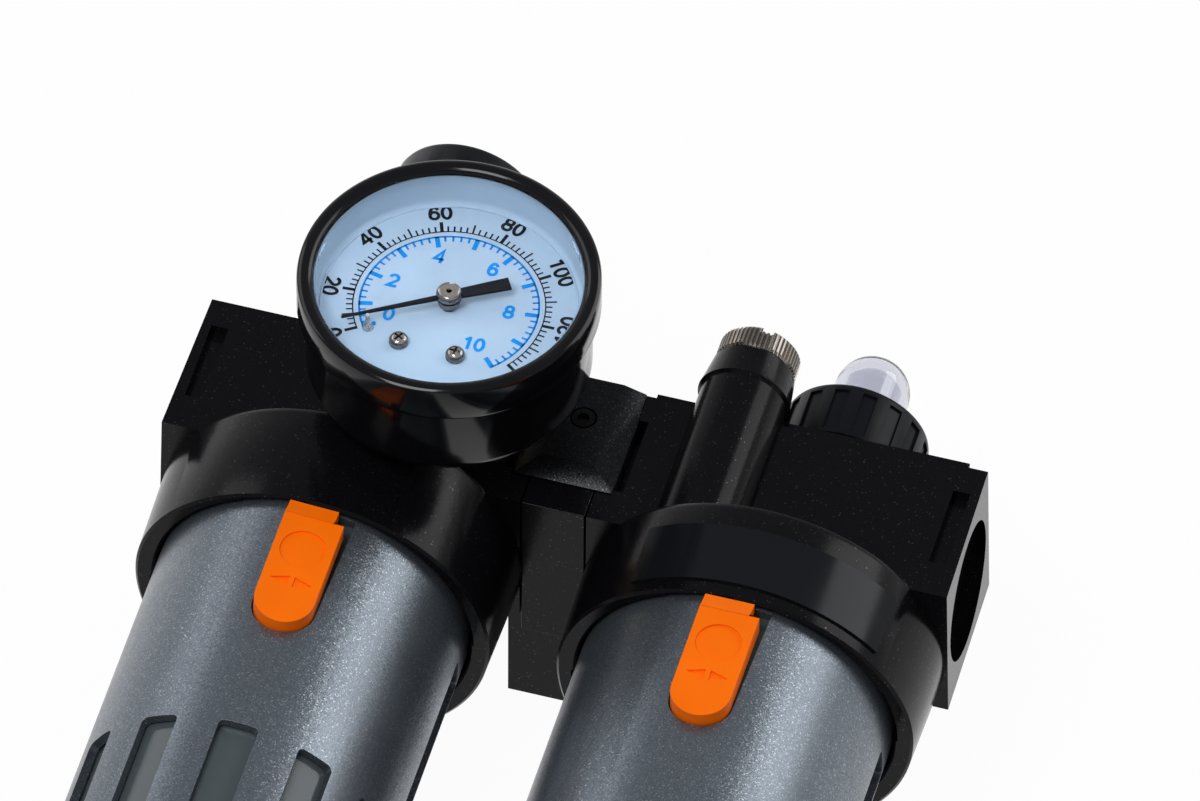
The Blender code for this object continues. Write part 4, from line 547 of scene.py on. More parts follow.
def unit_casting(name, side, at, replaced, tower_r=0.0):
    """One body: a drafted box over a round collar with a bayonet inside."""
    bm = block((-UNIT_HALF, -BOX_FRONT, -BOX_BOTTOM), (UNIT_HALF, BOX_REAR, BOX_TOP))
    for vert in bm.verts:
        if vert.co.x * side > 0:
            down = DRAFT_DOWN if vert.co.z < 0 else 0
            back = DRAFT_BACK if vert.co.y > 0 else 0
            vert.co.x += side * (down + back)
    body = piece(name, bm, CASTING, "housing", replaced, at, bevel=EDGE_ROUND)
    collar = lathe([
        (0, -COLLAR_TOP), (UNIT_HALF - 1.6 * mm, -COLLAR_TOP),
        (COLLAR_R - 0.5 * mm, -COLLAR_TOP - 0.8 * mm),
        (COLLAR_R, -BOX_BOTTOM), (COLLAR_RIM_R, -COLLAR_RIM + 0.5 * mm),
        (COLLAR_RIM_R - 0.5 * mm, -COLLAR_RIM), (LEDGE_R + 0.5 * mm, -COLLAR_RIM),
        (LEDGE_R, -COLLAR_RIM + 0.5 * mm), (LEDGE_R, -LEDGE_TOP), (GROOVE_R, -LEDGE_TOP),
        (GROOVE_R, -GROOVE_TOP), (COLLAR_BORE_R, -GROOVE_TOP), (COLLAR_BORE_R, -CEILING), (0, -CEILING)],
        144)
    flatten_front(collar)
    combine(body, collar, 'UNION')
    if tower_r:
        combine(body, rod(tower_r, -COLLAR_TOP, BOX_TOP, 96), 'UNION')
    entry = sector(LEDGE_R - 1 * mm, GROOVE_R, LUG_START + BAYONET_TURN, LUG_ANGLE + math.radians(3),
                   -COLLAR_RIM - 1 * mm, -LEDGE_TOP + 0.5 * mm)
    combine(body, ring_of(entry, LUG_COUNT), 'DIFFERENCE')
    floor = UNIT_HALF - PORT_RECESS_DEPTH
    port = lathe([(0, UNIT_HALF + 4 * mm), (PORT_RECESS_R, UNIT_HALF + 4 * mm), (PORT_RECESS_R, floor),
                  (PORT_R, floor), (PORT_R, floor - PORT_DEPTH), (0, floor - PORT_DEPTH)], 72)
    free_end = TO_X if side > 0 else TO_X.inverted()
    combine(body, along(port, free_end, (0, -PORT_FORWARD, 0)), 'DIFFERENCE')
    slots = bmesh.new()
    for end in (-1, 1):
        near, far = sorted((end * (UNIT_HALF - SLOT_EDGE), end * (UNIT_HALF - SLOT_EDGE - SLOT_WIDTH)))
        depth = SLOT_DEPTH - OUTER_SLOT_LESS if end == side else SLOT_DEPTH
        for face, sign in ((-BOX_FRONT, -1), (BOX_REAR, 1)):
            shallow, deep = sorted((face + sign * mm, face - sign * depth))
            block((near, shallow, -SLOT_BOTTOM), (far, deep, SLOT_TOP), 0, slots)
    combine(body, slots, 'DIFFERENCE')
    return body


def port_thread(name, side, at):
    """Thread crests inside a port, as fine rings that stand just off its wall."""
    bm = bmesh.new()
    floor = UNIT_HALF - PORT_RECESS_DEPTH
    for k in range(THREAD_CRESTS):
        z = floor - 0.9 * mm - k * THREAD_PITCH
        lathe([(PORT_R - 0.02 * mm, z + 0.45 * mm), (PORT_R - 0.65 * mm, z),
               (PORT_R - 0.02 * mm, z - 0.45 * mm)], 64, bm)
    turn = TO_X if side > 0 else TO_X.inverted()
    along(bm, turn, (0, -PORT_FORWARD, 0))
    return settle(piece(name, bm, STEEL, "housing", (), at))


def castings():
    body = unit_casting("regulator_casting", -1, REGULATOR, ("regulator_body",), TOWER_R)
    pad = along(rod(9.0 * mm, BOX_FRONT - 2 * mm, BOX_FRONT + 1.4 * mm), TO_FRONT,
                (GAUGE.x - REG_X, 0, GAUGE.z))
    combine(body, pad, 'UNION')
    recess = lathe([(0, BOX_TOP + mm), (BONNET_RECESS_R, BOX_TOP + mm), (BONNET_RECESS_R, BONNET_SEAT),
                    (8 * mm, BONNET_SEAT),
                    (8 * mm, 3.2 * mm), (3.4 * mm, 3.2 * mm), (3.4 * mm, -2.8 * mm),
                    (VALVE_BORE_R, -2.8 * mm),
                    (VALVE_BORE_R, -CEILING - mm), (0, -CEILING - mm)], 64)
    combine(body, recess, 'DIFFERENCE')
    settle(body)

    body = unit_casting("lubricator_casting", 1, LUBRICATOR, ("lubricator_body",))
    at = (PLUG.x - LUB_X, PLUG.y - BOWL_Y)
    boss = up(0, (0, 24.9), (7.1, 24.9), (7.5, 24.5), (8.2, 19.4), (8.4, 18.4), (7.8, 17.8))
    boss = lathe(boss + [(7.8 * mm, -BOX_BOTTOM), (0, -BOX_BOTTOM)], 96, None, at)
    combine(body, boss, 'UNION')
    dome_at = (DOME.x - LUB_X, 0)
    combine(body, rod(14.6 * mm, BOX_TOP - 2 * mm, DECK_TOP, 96, None, dome_at), 'UNION')
    pad = block((-UNIT_HALF + 4 * mm, -BOX_FRONT + 2.4 * mm, BOX_TOP - 2 * mm),
                (UNIT_HALF - 4 * mm, BOX_REAR - 2.4 * mm, DECK_TOP))
    combine(body, pad, 'UNION')
    bore = lathe(up(0, (0, 26), (6.7, 26), (6.7, 23.4), (4.6, 23.4), (4.6, 12), (0, 12)), 48, None, at)
    combine(body, bore, 'DIFFERENCE')
    combine(body, rod(8.9 * mm, 13.1 * mm, 18.5 * mm, 48, None, dome_at), 'DIFFERENCE')
    settle(body)
    port_thread("inlet_thread", -1, REGULATOR)
    port_thread("outlet_thread", 1, LUBRICATOR)

    # Bare film round the front of the right collar
    film_low, film_high = -31.0 * mm, -18.6 * mm
    film = sector(COLLAR_R - 0.6 * mm, COLLAR_R + 0.05 * mm, math.radians(-84), math.radians(86), film_low,
                  film_high, 48)
    flatten_front(film)
    settle(piece("bare_film", film, FILM, "housing", (), LUBRICATOR))


def bracket_and_clamp():
    stem_half = LUB_X - UNIT_HALF - CLEAR
    wall = -BOWL_Y
    arm_half, plate_low, plate_top = 8.7 * mm, 14.8 * mm, 38.8 * mm
    bm = block((-stem_half, -BOX_FRONT, -BOX_BOTTOM), (stem_half, BOX_REAR + 4 * mm, BOX_TOP))
    bracket = piece("bracket_casting", bm, CASTING, "housing", ("rear_bracket",),
                    STEM, bevel=EDGE_ROUND)
    combine(bracket, block((-arm_half, BOX_REAR + CLEAR, -COLLAR_TOP), (arm_half, wall, BOX_TOP)), 'UNION')
    combine(bracket, block((-arm_half, wall - 5 * mm, BOX_TOP - 4 * mm),
                           (arm_half, wall, plate_top - 3 * mm)), 'UNION')
    plate = block((-23 * mm, wall - 5 * mm, plate_low), (23 * mm, wall, plate_top), 2.4 * mm, None, 1)
    combine(bracket, plate, 'UNION')
    web = prism([(BOX_REAR + 4.3 * mm, BOX_TOP - mm), (wall - mm, BOX_TOP - mm),
                 (wall - mm, plate_top - 5 * mm),
                 (wall - 5 * mm, plate_top - 5 * mm)], -2 * mm, 2 * mm)
    combine(bracket, along(web, SIDEWAYS), 'UNION')
    slot_z = (plate_low + plate_top) / 2
    half_apart, slot_r, straight = 15 * mm, 2.75 * mm, 1.75 * mm
    slots = bmesh.new()
    for side in (-1, 1):
        arc = [math.pi * k / 24 for k in range(25)]
        ends = [(side * half_apart + slot_r * math.cos(a),
                 slot_z + straight + slot_r * math.sin(a)) for a in arc]
        ends += [(side * half_apart - slot_r * math.cos(a),
                  slot_z - straight - slot_r * math.sin(a)) for a in arc]
        prism(ends, -wall - mm, -wall + 6 * mm, slots)
    combine(bracket, along(slots, TO_FRONT), 'DIFFERENCE')
    settle(bracket)

    base = BOX_FRONT + CLEAR
    bm = bmesh.new()
    rings = []
    for half, low, high, depth in ((8.8 * mm, -8.6 * mm, BOX_TOP, base),
                                   (4.9 * mm, -5.0 * mm, BOX_TOP - 0.7 * mm, base + 2.2 * mm)):
        corners = ((-half, low), (half, low), (half, high), (-half, high))
        rings.append([bm.verts.new((x, -depth, z)) for x, z in corners])
    for ring in rings:
        bm.faces.new(ring)
    for k in range(4):
        bm.faces.new((rings[0][k], rings[0][(k + 1) % 4], rings[1][(k + 1) % 4], rings[1][k]))
    clamp = piece("clamp_casting", bm, CLAMP_PAINT, "housing", ("front_clamp",),
                  STEM, bevel=0.3 * mm)
    legs = bmesh.new()
    for side in (-1, 1):
        near, far = sorted((side * 7.9 * mm, side * 9.0 * mm))
        block((near, -base - 0.1 * mm, -SLOT_BOTTOM + CLEAR), (far, -base + SLOT_DEPTH, SLOT_TOP - CLEAR),
              0, legs)
    combine(clamp, legs, 'UNION')
    hole = lathe(up(base, (0, 4), (2.4, 4), (2.4, 0.8), (1.55, 0.8), (1.55, -1), (0, -1)), 40)
    combine(clamp, along(hole, TO_FRONT, (0, 0, 4.8 * mm)), 'DIFFERENCE')
    settle(clamp)


# Guards, bowls and buttons

def button_outline(grow=0.0, flare=0.0):
    """Lock button seen from the front: a latch tab above a shield with a round end."""
    half = BUTTON_HALF + grow
    centre = -BUTTON_TIP + BUTTON_HALF
    arc = [math.pi * k / 20 for k in range(21)]
    end = [(half * math.cos(a), centre - half * math.sin(a)) for a in arc]
    if flare:
        return [(-half, -BUTTON_TOP + grow), (half + flare, -BUTTON_TOP + grow), *end]
    return [(-half, -BUTTON_TOP + grow), (BUTTON_TAB_EDGE + grow, -BUTTON_TOP + grow),
            (BUTTON_TAB_EDGE + grow, -BUTTON_STEP + grow), (half, -BUTTON_STEP + grow), *end]


def guard_and_button(prefix, at, turned):
    guard = piece(prefix + "_shell", lathe([
        (GUARD_R, -GUARD_TOP), (GUARD_R, -GUARD_BOTTOM + 14 * mm),
        (GUARD_R - 0.7 * mm, -GUARD_BOTTOM + 9 * mm),
        (GUARD_R - 2.2 * mm, -GUARD_BOTTOM + 5 * mm), (GUARD_R - 4 * mm, -GUARD_BOTTOM + 1.6 * mm),
        (GUARD_R - 6 * mm, -GUARD_BOTTOM), (GUARD_FLOOR_R, -GUARD_BOTTOM),
        (GUARD_FLOOR_R, -GUARD_BOTTOM + GUARD_WALL),
        (GUARD_R - GUARD_WALL - 5 * mm, -GUARD_BOTTOM + GUARD_WALL),
        (GUARD_R - GUARD_WALL - 1.8 * mm, -GUARD_BOTTOM + 6 * mm),
        (GUARD_R - GUARD_WALL, -GUARD_BOTTOM + 14 * mm), (GUARD_R - GUARD_WALL, -GUARD_TOP)], 144),
        GUARD_PAINT, prefix + "_bowl_body", (prefix + "_guard",), at, (0, 0, turned),
        bevel=0.35 * mm)
    lug_top = LEDGE_TOP - CLEAR - LUG_HEIGHT
    lug = sector(GUARD_R - 0.8 * mm, GROOVE_R - 0.4 * mm, LUG_START, LUG_ANGLE, -lug_top - LUG_HEIGHT,
                 -lug_top)
    combine(guard, ring_of(lug, LUG_COUNT), 'UNION')
    for k in range(WINDOW_COUNT // 2):
        top = SIDE_SLOT_TOP if k == 0 else WINDOW_TOP
        cutter = block((-GUARD_R - 2 * mm, -WINDOW_WIDTH / 2, -WINDOW_BOTTOM),
                       (GUARD_R + 2 * mm, WINDOW_WIDTH / 2, -top),
                       WINDOW_CORNER, None, 0, 6)
        combine(guard, swung(cutter, math.pi * k / (WINDOW_COUNT // 2)), 'DIFFERENCE')
    pocket = prism(button_outline(CLEAR, 0.9 * mm), GUARD_R - 12 * mm, GUARD_R + 3 * mm)
    combine(guard, along(pocket, TO_FRONT), 'DIFFERENCE')
    settle(guard)

    front = GUARD_R + BUTTON_PROUD
    button = piece(prefix + "_button", along(prism(button_outline(), GUARD_R - 10 * mm, front), TO_FRONT),
                   ORANGE, prefix + "_button_body", (prefix + "_lock_button",), at,
                   (0, 0, turned), bevel=0.45 * mm)
    combine(button, rod(BUTTON_BACK_R, -BUTTON_TIP - 2 * mm, -BUTTON_TOP + 2 * mm, 180), 'DIFFERENCE')
    step = [(-front - mm, -BUTTON_TOP + mm), (-front + 1.1 * mm, -BUTTON_TOP + mm),
            (-front + 0.9 * mm, -BUTTON_TOP - 1.0 * mm),
            (-front, -BUTTON_STEP), (-front - mm, -BUTTON_STEP)]
    combine(button, along(prism(step, -BUTTON_HALF - mm, BUTTON_HALF + mm), SIDEWAYS), 'DIFFERENCE')
    dish = rod(4.05 * mm, front - 0.45 * mm, front + mm, 96)
    combine(button, along(dish, TO_FRONT, (0, 0, -BUTTON_MARK)), 'DIFFERENCE')
    arrows = bmesh.new()
    arrow_z = -BUTTON_MARK - 7.4 * mm
    for side in (-1, 1):
        tip, foot = side * 3.75 * mm, side * 0.45 * mm
        prism([(tip, arrow_z), (foot, arrow_z + 1.1 * mm), (foot, arrow_z - 1.1 * mm)], front - 0.5 * mm,
              front + mm, arrows)
    combine(button, along(arrows, TO_FRONT), 'DIFFERENCE')
    settle(button)


def bowl_piece(prefix, at, drained):
    flange_top = -19.0 * mm
    bowl_r = GUARD_R - GUARD_WALL - 0.4 * mm
    inner_r = bowl_r - 2.6 * mm
    bottom = -120.2 * mm
    inner = [(inner_r, flange_top), (inner_r, bottom + 20 * mm), (inner_r - 1.0 * mm, bottom + 14 * mm),
             (inner_r - 3.4 * mm, bottom + 9 * mm), (inner_r - 10 * mm, bottom + 4.6 * mm)]
    outer = [(bowl_r - 10 * mm, bottom), (bowl_r - 4.6 * mm, bottom + 4 * mm),
             (bowl_r - 1.6 * mm, bottom + 10 * mm),
             (bowl_r, bottom + 18 * mm), (bowl_r, flange_top - 2.5 * mm),
             (28.0 * mm, flange_top - 2.5 * mm), (28.0 * mm, flange_top)]
    if drained:
        floor = [(2.6 * mm, bottom + 2.6 * mm), (2.6 * mm, -131.2 * mm), (6.6 * mm, -131.2 * mm),
                 (6.6 * mm, bottom)]
        profile = inner + floor + outer
    else:
        profile = [(0, bottom)] + outer + inner + [(0, bottom + 2.6 * mm)]
    settle(piece(prefix + "_clear_bowl", lathe(profile, 96), BOWL, prefix + "_bowl_body",
                 (prefix + "_bowl",), at))


# Gauge, built with its axis upright and faced to the front

def on_gauge(name, bm, mat, replaced=(), body="housing", bevel=0.0, sharp=32):
    """Place a finished piece of the gauge."""
    return settle(piece(name, bm, mat, body, replaced, GAUGE, FACE_FRONT, bevel, sharp))


def gauge_case():
    on_gauge("case_shell", lathe([
        (6.1 * mm, 0), (CASE_R - 3 * mm, 0), (CASE_R - 1.5 * mm, 0.25 * mm), (CASE_R - 0.6 * mm, 1.1 * mm),
        (CASE_R, 3 * mm),
        (CASE_R, CASE_LENGTH), (CASE_R - 1.2 * mm, CASE_LENGTH), (CASE_R - 1.2 * mm, 3.4 * mm),
        (CASE_R - 2.8 * mm, 1.5 * mm),
        (6.1 * mm, 1.5 * mm)][::-1], 160), BEZEL, ("gauge_case",), bevel=0.2 * mm)
    low = GAUGE_FRONT - BEZEL_SKIRT
    lip = GAUGE_FRONT - LIP
    on_gauge("bezel_ring", lathe([
        (WINDOW_R + 1.1 * mm, GAUGE_FRONT - 0.1 * mm), (WINDOW_R + 1.6 * mm, GAUGE_FRONT),
        (BEZEL_R - 1.1 * mm, GAUGE_FRONT),
        (BEZEL_R - 0.5 * mm, GAUGE_FRONT - 0.16 * mm), (BEZEL_R - 0.14 * mm, GAUGE_FRONT - 0.5 * mm),
        (BEZEL_R, GAUGE_FRONT - 1.1 * mm), (BEZEL_R, low + 0.6 * mm),
        (BEZEL_R - 0.2 * mm, low + 0.15 * mm), (BEZEL_R - 0.6 * mm, low),
        (CASE_R + CLEAR, low), (CASE_R + CLEAR, lip), (WINDOW_R, lip),
        (WINDOW_R + 0.1 * mm, GAUGE_FRONT - 0.9 * mm),
        (WINDOW_R + 0.5 * mm, GAUGE_FRONT - 0.4 * mm)], 192), BEZEL, ("gauge_bezel",))
    lens_top = GAUGE_FRONT - LIP - 0.1 * mm
    on_gauge("window_lens", rod(WINDOW_R - 0.25 * mm, lens_top - 1.5 * mm, lens_top, 128), LENS,
             ("gauge_lens",))


def tick(bm, angle, inner, outer, width):
    """A flat mark on the dial, between two radii."""
    across = Vector((-math.sin(angle), math.cos(angle), 0)) * width / 2
    out = Vector((math.cos(angle), math.sin(angle), 0))
    lift = Vector((0, 0, DIAL_FRONT + PRINT_LIFT))
    corners = (out * inner - across, out * outer - across, out * outer + across, out * inner + across)
    bm.faces.new([bm.verts.new(c + lift) for c in corners])


def arc_line(bm, radius, width, start, end, parts=120):
    z = DIAL_FRONT + PRINT_LIFT
    for k in range(parts):
        a, b = (start + (end - start) * (k + j) / parts for j in (0, 1))
        corners = ((radius, a), (radius + width, a), (radius + width, b), (radius, b))
        bm.faces.new([bm.verts.new((r * math.cos(t), r * math.sin(t), z)) for r, t in corners])


def scale_angle(psi):
    """Dial angle of a pressure, clockwise from the lower left."""
    return SCALE_TOP - SCALE_STEP * (psi - SCALE_TOP_PSI)


def oval(x, y, wide, high, start=0, end=360):
    """Points of an oval, or of a part of one, in digit heights."""
    count = max(6, abs(end - start) // 12)
    turns = [math.radians(start + (end - start) * k / count) for k in range(count + 1)]
    return [(x + wide * math.cos(t), y + high * math.sin(t)) for t in turns]


DIGITS = {
    "0": [oval(0, 0, 0.25, 0.43)],
    "1": [[(0.07, -0.5), (0.07, 0.48)], [(0.07, 0.42), (-0.02, 0.30), (-0.2, 0.2)]],
    "2": [oval(0, 0.18, 0.25, 0.25, 170, -40) + [(-0.27, -0.43), (0.28, -0.43)]],
    "4": [[(0.12, -0.5), (0.12, 0.46), (-0.28, -0.2), (0.3, -0.2)]],
    "6": [oval(0, -0.17, 0.25, 0.26), oval(0.02, -0.1, 0.27, 0.53, 180, 40)],
    "8": [oval(0, 0.21, 0.21, 0.22), oval(0, -0.2, 0.25, 0.23)],
}


def stroke(bm, points, width, lift):
    """A flat line of even width along some points, mitred where it bends."""
    closed = (points[0] - points[-1]).length < width * 0.1
    if closed:
        points = points[:-1]
    count = len(points)
    pairs = []
    for k, point in enumerate(points):
        before = points[k - 1] if closed or k else point
        after = points[(k + 1) % count] if closed or k < count - 1 else point
        sides = [(b - a).orthogonal().normalized() for a,
                 b in ((before, point), (point, after)) if (b - a).length > 0]
        across = sum(sides, Vector((0, 0))).normalized()
        across *= width / 2 / max(across.dot(sides[0]), 0.4)
        pairs.append([bm.verts.new((*spot, lift)) for spot in (point - across, point + across)])
    for k in range(count if closed else count - 1):
        (a, b), (c, d) = pairs[k], pairs[(k + 1) % count]
        bm.faces.new((a, c, d, b))


def number(name, value, size, radius, angle, mat, upright):
    """A number printed on the dial, drawn with strokes, turned to read from outside or kept upright."""
    bm = bmesh.new()
    text = str(value)
    quarter = math.radians(90 if math.sin(angle) > 0.05 else -90)
    turn = Matrix.Rotation(0 if upright else angle - quarter, 2)
    spot = Vector((radius * math.cos(angle), radius * math.sin(angle)))
    for place, digit in enumerate(text):
        shift = (place - (len(text) - 1) / 2) * DIGIT_PITCH
        for layer, line in enumerate(DIGITS[digit]):
            points = [spot + turn @ Vector(((x + shift) * size, y * size)) for x, y in line]
            stroke(bm, points, STROKE * size, DIAL_FRONT + (0.06 + 0.012 * layer) * mm)
    on_gauge(name, bm, mat)


def gauge_dial():
    wall = WINDOW_R - 0.15 * mm
    rim = GAUGE_FRONT - LIP - 0.05 * mm
    face = lathe([(1.4 * mm, DIAL_FRONT), (22.2 * mm, DIAL_FRONT), (22.3 * mm, DIAL_FRONT + 0.25 * mm),
                  (22.5 * mm, DIAL_FRONT + 0.25 * mm),
                  (22.6 * mm, DIAL_FRONT + 0.05 * mm), (wall - 0.3 * mm, DIAL_FRONT + 0.3 * mm),
                  (wall, DIAL_FRONT + 1.1 * mm),
                  (wall, rim), (wall + 0.15 * mm, rim), (wall + 0.15 * mm, DIAL_FRONT - 0.8 * mm),
                  (1.4 * mm, DIAL_FRONT - 0.8 * mm)], 160)
    on_gauge("dial_plate", face, DIAL, ("gauge_dial",), sharp=50)

    black = bmesh.new()
    for psi in [FIRST_PSI] + list(range(FIRST_PSI + 2, LAST_PSI + 1, 2)):
        bold = psi in (FIRST_PSI, LAST_PSI) or psi % 20 == 0
        long, wide = (2.3, 0.62) if bold else (2.1, 0.34) if psi % 10 == 0 else (1.3, 0.32)
        tick(black, scale_angle(psi), BLACK_ARC_R, BLACK_ARC_R + long * mm, wide * mm)
    arc_line(black, BLACK_ARC_R, 0.22 * mm, scale_angle(FIRST_PSI), scale_angle(LAST_PSI))
    on_gauge("black_scale", black, PRINT_BLACK)
    blue = bmesh.new()
    last = scale_angle(10 * PSI_PER_BAR)
    for fifth in [0] + list(range(2, 51)):
        long, wide = (2.5, 0.85) if fifth % 5 == 0 else (1.3, 0.38)
        angle = scale_angle(max(fifth / 5 * PSI_PER_BAR, FIRST_PSI))
        tick(blue, angle, BLUE_ARC_R - long * mm, BLUE_ARC_R, wide * mm)
    arc_line(blue, BLUE_ARC_R - 0.36 * mm, 0.36 * mm, scale_angle(FIRST_PSI), last)
    on_gauge("blue_scale", blue, PRINT_BLUE)
    for value in range(0, 121, 20):
        number("black_number_%d" % value, value, 3.0 * mm, 21.0 * mm, scale_angle(max(value, FIRST_PSI)),
               PRINT_BLACK, False)
    for value, degrees, radius in ((0, 206, 10.6), (2, 165.4, 11.2), (4, 114.3, 11.2), (6, 62.9, 11.2),
                                   (8, 8, 10.5), (10, -47.7, 9.6)):
        number("blue_number_%d" % value, value, 2.9 * mm, radius * mm, math.radians(degrees), PRINT_BLUE,
               True)

    head = DIAL_FRONT + 0.1 * mm
    for side, x, z, node in ((-1, -6.1, -10.4, "dial_screw_left"), (1, 4.2, -10.8, "dial_screw_right")):
        bm = lathe(up(head, (0, 1.75), (0.9, 1.65), (1.4, 1.35), (1.68, 0.9), (1.7, 0), (0.6, 0),
                      (0.6, -4), (0, -4)), 64)
        at = GAUGE + Vector((x * mm, 0, z * mm))
        screw = piece(node + "_head", bm, DARK_STEEL, "housing", (node,), at, FACE_FRONT, sharp=60)
        for quarter in (0, 1):
            cut = block((-0.95 * mm, -0.2 * mm, head + 0.8 * mm), (0.95 * mm, 0.2 * mm, head + 3 * mm))
            combine(screw, swung(cut, 0.5 + side + quarter * math.pi / 2), 'DIFFERENCE')
        settle(screw)

    pin_r, pin_angle = 14.9 * mm, POINTER_ZERO + 0.084
    low = DIAL_FRONT + 0.02 * mm
    pin = lathe([(0, POINTER_FRONT + 0.6 * mm), (0.35 * mm, POINTER_FRONT + 0.5 * mm),
                 (0.5 * mm, low + 1.4 * mm), (1.0 * mm, low + 0.4 * mm),
                 (1.0 * mm, low), (0, low)], 32, None,
                 (pin_r * math.cos(pin_angle), pin_r * math.sin(pin_angle)))
    on_gauge("stop_pin", pin, STEEL, sharp=60)


def gauge_pointer():
    back = POINTER_FRONT - 0.5 * mm
    half = [(19.3 * mm, 0.17 * mm), (0, 0.55 * mm), (0, 0.95 * mm), (-10.9 * mm, 1.3 * mm)]
    outline = half + [(x, -y) for x, y in reversed(half)]
    blade = along(prism(outline, back, POINTER_FRONT), Matrix.Rotation(POINTER_ZERO, 4, 'Z'))
    on_gauge("pointer_blade", blade, BLACK, ("gauge_pointer",), "pointer_body", 0.05 * mm)
    cap_low = POINTER_FRONT + 0.02 * mm
    cap = lathe(up(cap_low, (0.3, 0.7), (0.5, 1.1), (1.55, 1.15), (1.75, 1.0), (1.95, 1.1), (2.2, 0.8),
                   (2.3, 0.3), (2.3, 0), (0.3, 0)), 72)
    on_gauge("pointer_cap", cap, DARK_STEEL, (), "pointer_body", sharp=50)
    sleeve = lathe([(0, back - 0.02 * mm), (2.2 * mm, back - 0.02 * mm), (2.2 * mm, back - 0.3 * mm),
                    (1.95 * mm, back - 0.4 * mm),
                    (1.95 * mm, back - 1.5 * mm), (0.9 * mm, back - 1.6 * mm),
                    (0.9 * mm, DIAL_FRONT - 2 * mm), (0, DIAL_FRONT - 2 * mm)], 48)
    on_gauge("pointer_shaft", sleeve, DARK_STEEL, (), "pointer_body")


# Knob, plug, ring and dome

def knob():
    neck, top = 38.1 * mm, 66.3 * mm
    cap = piece("knob_cap", lathe([
        (0, top), (9.6 * mm, top), (11.6 * mm, top - 0.25 * mm), (12.7 * mm, top - 0.8 * mm),
        (13.1 * mm, top - 1.7 * mm),
        (15.1 * mm, neck + 5 * mm), (15.4 * mm, neck + 4.4 * mm), (15.6 * mm, neck + 3.4 * mm),
        (15.6 * mm, neck), (12.9 * mm, neck),
        (12.9 * mm, neck + 7 * mm), (11.2 * mm, neck + 8.4 * mm), (10.2 * mm, top - 4 * mm),
        (7 * mm, top - 3 * mm),
        (5.6 * mm, neck + 8.9 * mm), (0, neck + 8.9 * mm)], 128), BLACK, "knob_body",
        ("adjusting_knob",), REGULATOR,
        bevel=0.25 * mm)
    low, high = neck + 5.5 * mm, top - 9.5 * mm
    lean = math.atan(2.0 * mm / (top - 1.7 * mm - neck - 5 * mm))
    flute = block((-0.7 * mm, -0.9 * mm, (low - high) / 2), (2 * mm, 0.9 * mm, (high - low) / 2))
    along(flute, Matrix.Rotation(-lean, 4, 'Y'), (14.1 * mm, 0, (low + high) / 2))
    combine(cap, ring_of(flute, 16), 'DIFFERENCE')
    settle(cap)


def plug():
    head_low, teeth = 25.2 * mm, 54
    head_top = head_low + 4.7 * mm
    outline = []
    for k in range(teeth):
        for share, radius in ((0.0, 6.85), (0.28, 7.3), (0.62, 7.3), (0.9, 6.85)):
            angle = math.tau * (k + share) / teeth
            outline.append((radius * mm * math.cos(angle), radius * mm * math.sin(angle)))
    head = piece("knurled_plug", prism(outline, head_low, head_top), NICKEL, "filler_plug_body",
                 ("filler_plug",), PLUG, sharp=25)
    trim = lathe([(0, head_top + mm), (6.5 * mm, head_top + mm), (6.5 * mm, head_top),
                  (7.4 * mm, head_top - 0.9 * mm),
                  (7.4 * mm, head_low + 0.5 * mm), (6.9 * mm, head_low), (6.9 * mm, head_low - mm),
                  (0, head_low - mm)], 96)
    combine(head, trim, 'INTERSECT')
    combine(head, rod(4.3 * mm, head_low - 9 * mm, head_low + 0.5 * mm, 40), 'UNION')
    slot = block((-1.0 * mm, -9 * mm, head_top - 1.3 * mm), (1.0 * mm, 9 * mm, head_top + mm))
    combine(head, swung(slot, math.radians(12)), 'DIFFERENCE')
    settle(head)


def sight_dome():
    ring_low, top, radius = 17.7 * mm, 31.5 * mm, 13.1 * mm
    ring = piece("grip_ring", lathe([
        (7.9 * mm, top - 0.5 * mm), (8.4 * mm, top), (radius - 0.9 * mm, top),
        (radius - 0.25 * mm, top - 0.25 * mm), (radius, top - 0.9 * mm),
        (radius, ring_low + 2.4 * mm), (radius - 1.1 * mm, ring_low + 1.8 * mm),
        (radius - 1.1 * mm, ring_low), (7.1 * mm, ring_low),
        (7.1 * mm, top - 0.9 * mm)], 128), BLACK, "sight_body", ("dome_ring",), DOME,
        bevel=0.25 * mm)
    notch = sector(radius - 0.45 * mm, radius + mm, math.pi / 16, 2.6 * mm / radius, ring_low + 3.4 * mm,
                   top - 1.6 * mm, 4)
    combine(ring, ring_of(notch, 16), 'DIFFERENCE')
    settle(ring)

    outer, inner, shoulder, low = 6.8 * mm, 5.0 * mm, 40.1 * mm, 14.9 * mm
    arc = [math.radians(90 * k / 16) for k in range(17)]
    outside = [(outer * math.sin(a) ** 0.8, shoulder + outer * math.cos(a)) for a in arc]
    inside = [(inner * math.sin(a), shoulder + inner * math.cos(a)) for a in reversed(arc)]
    settle(piece("clear_dome", lathe(outside + [(outer, low + 2.2 * mm), (8.6 * mm, low + 2.2 * mm),
                                                (8.6 * mm, low), (inner, low)] + inside, 96),
                 GLASS, "sight_body", ("sight_dome",), DOME))


CARRIED = (
    (BLACK, ("bonnet", "vane_plate", "baffle", "drain_valve")),
    (STEEL, ("adjusting_screw", "regulating_spring", "valve_spring")),
    (BLACKED_STEEL, ("clamp_screw",)),
    (BRASS, ("spring_nut", "regulating_piston", "valve_stem", "gauge_socket", "bourdon_tube", "drip_tube")),
    (RUBBER, ("piston_ring", "joint_seal_left", "joint_seal_right", "filter_bowl_seal",
              "lubricator_bowl_seal", "filler_seal", "dome_seal")),
    (SINTERED, ("filter_element", "siphon_strainer")),
    (NATURAL, ("valve_carrier", "siphon_tube")),
)


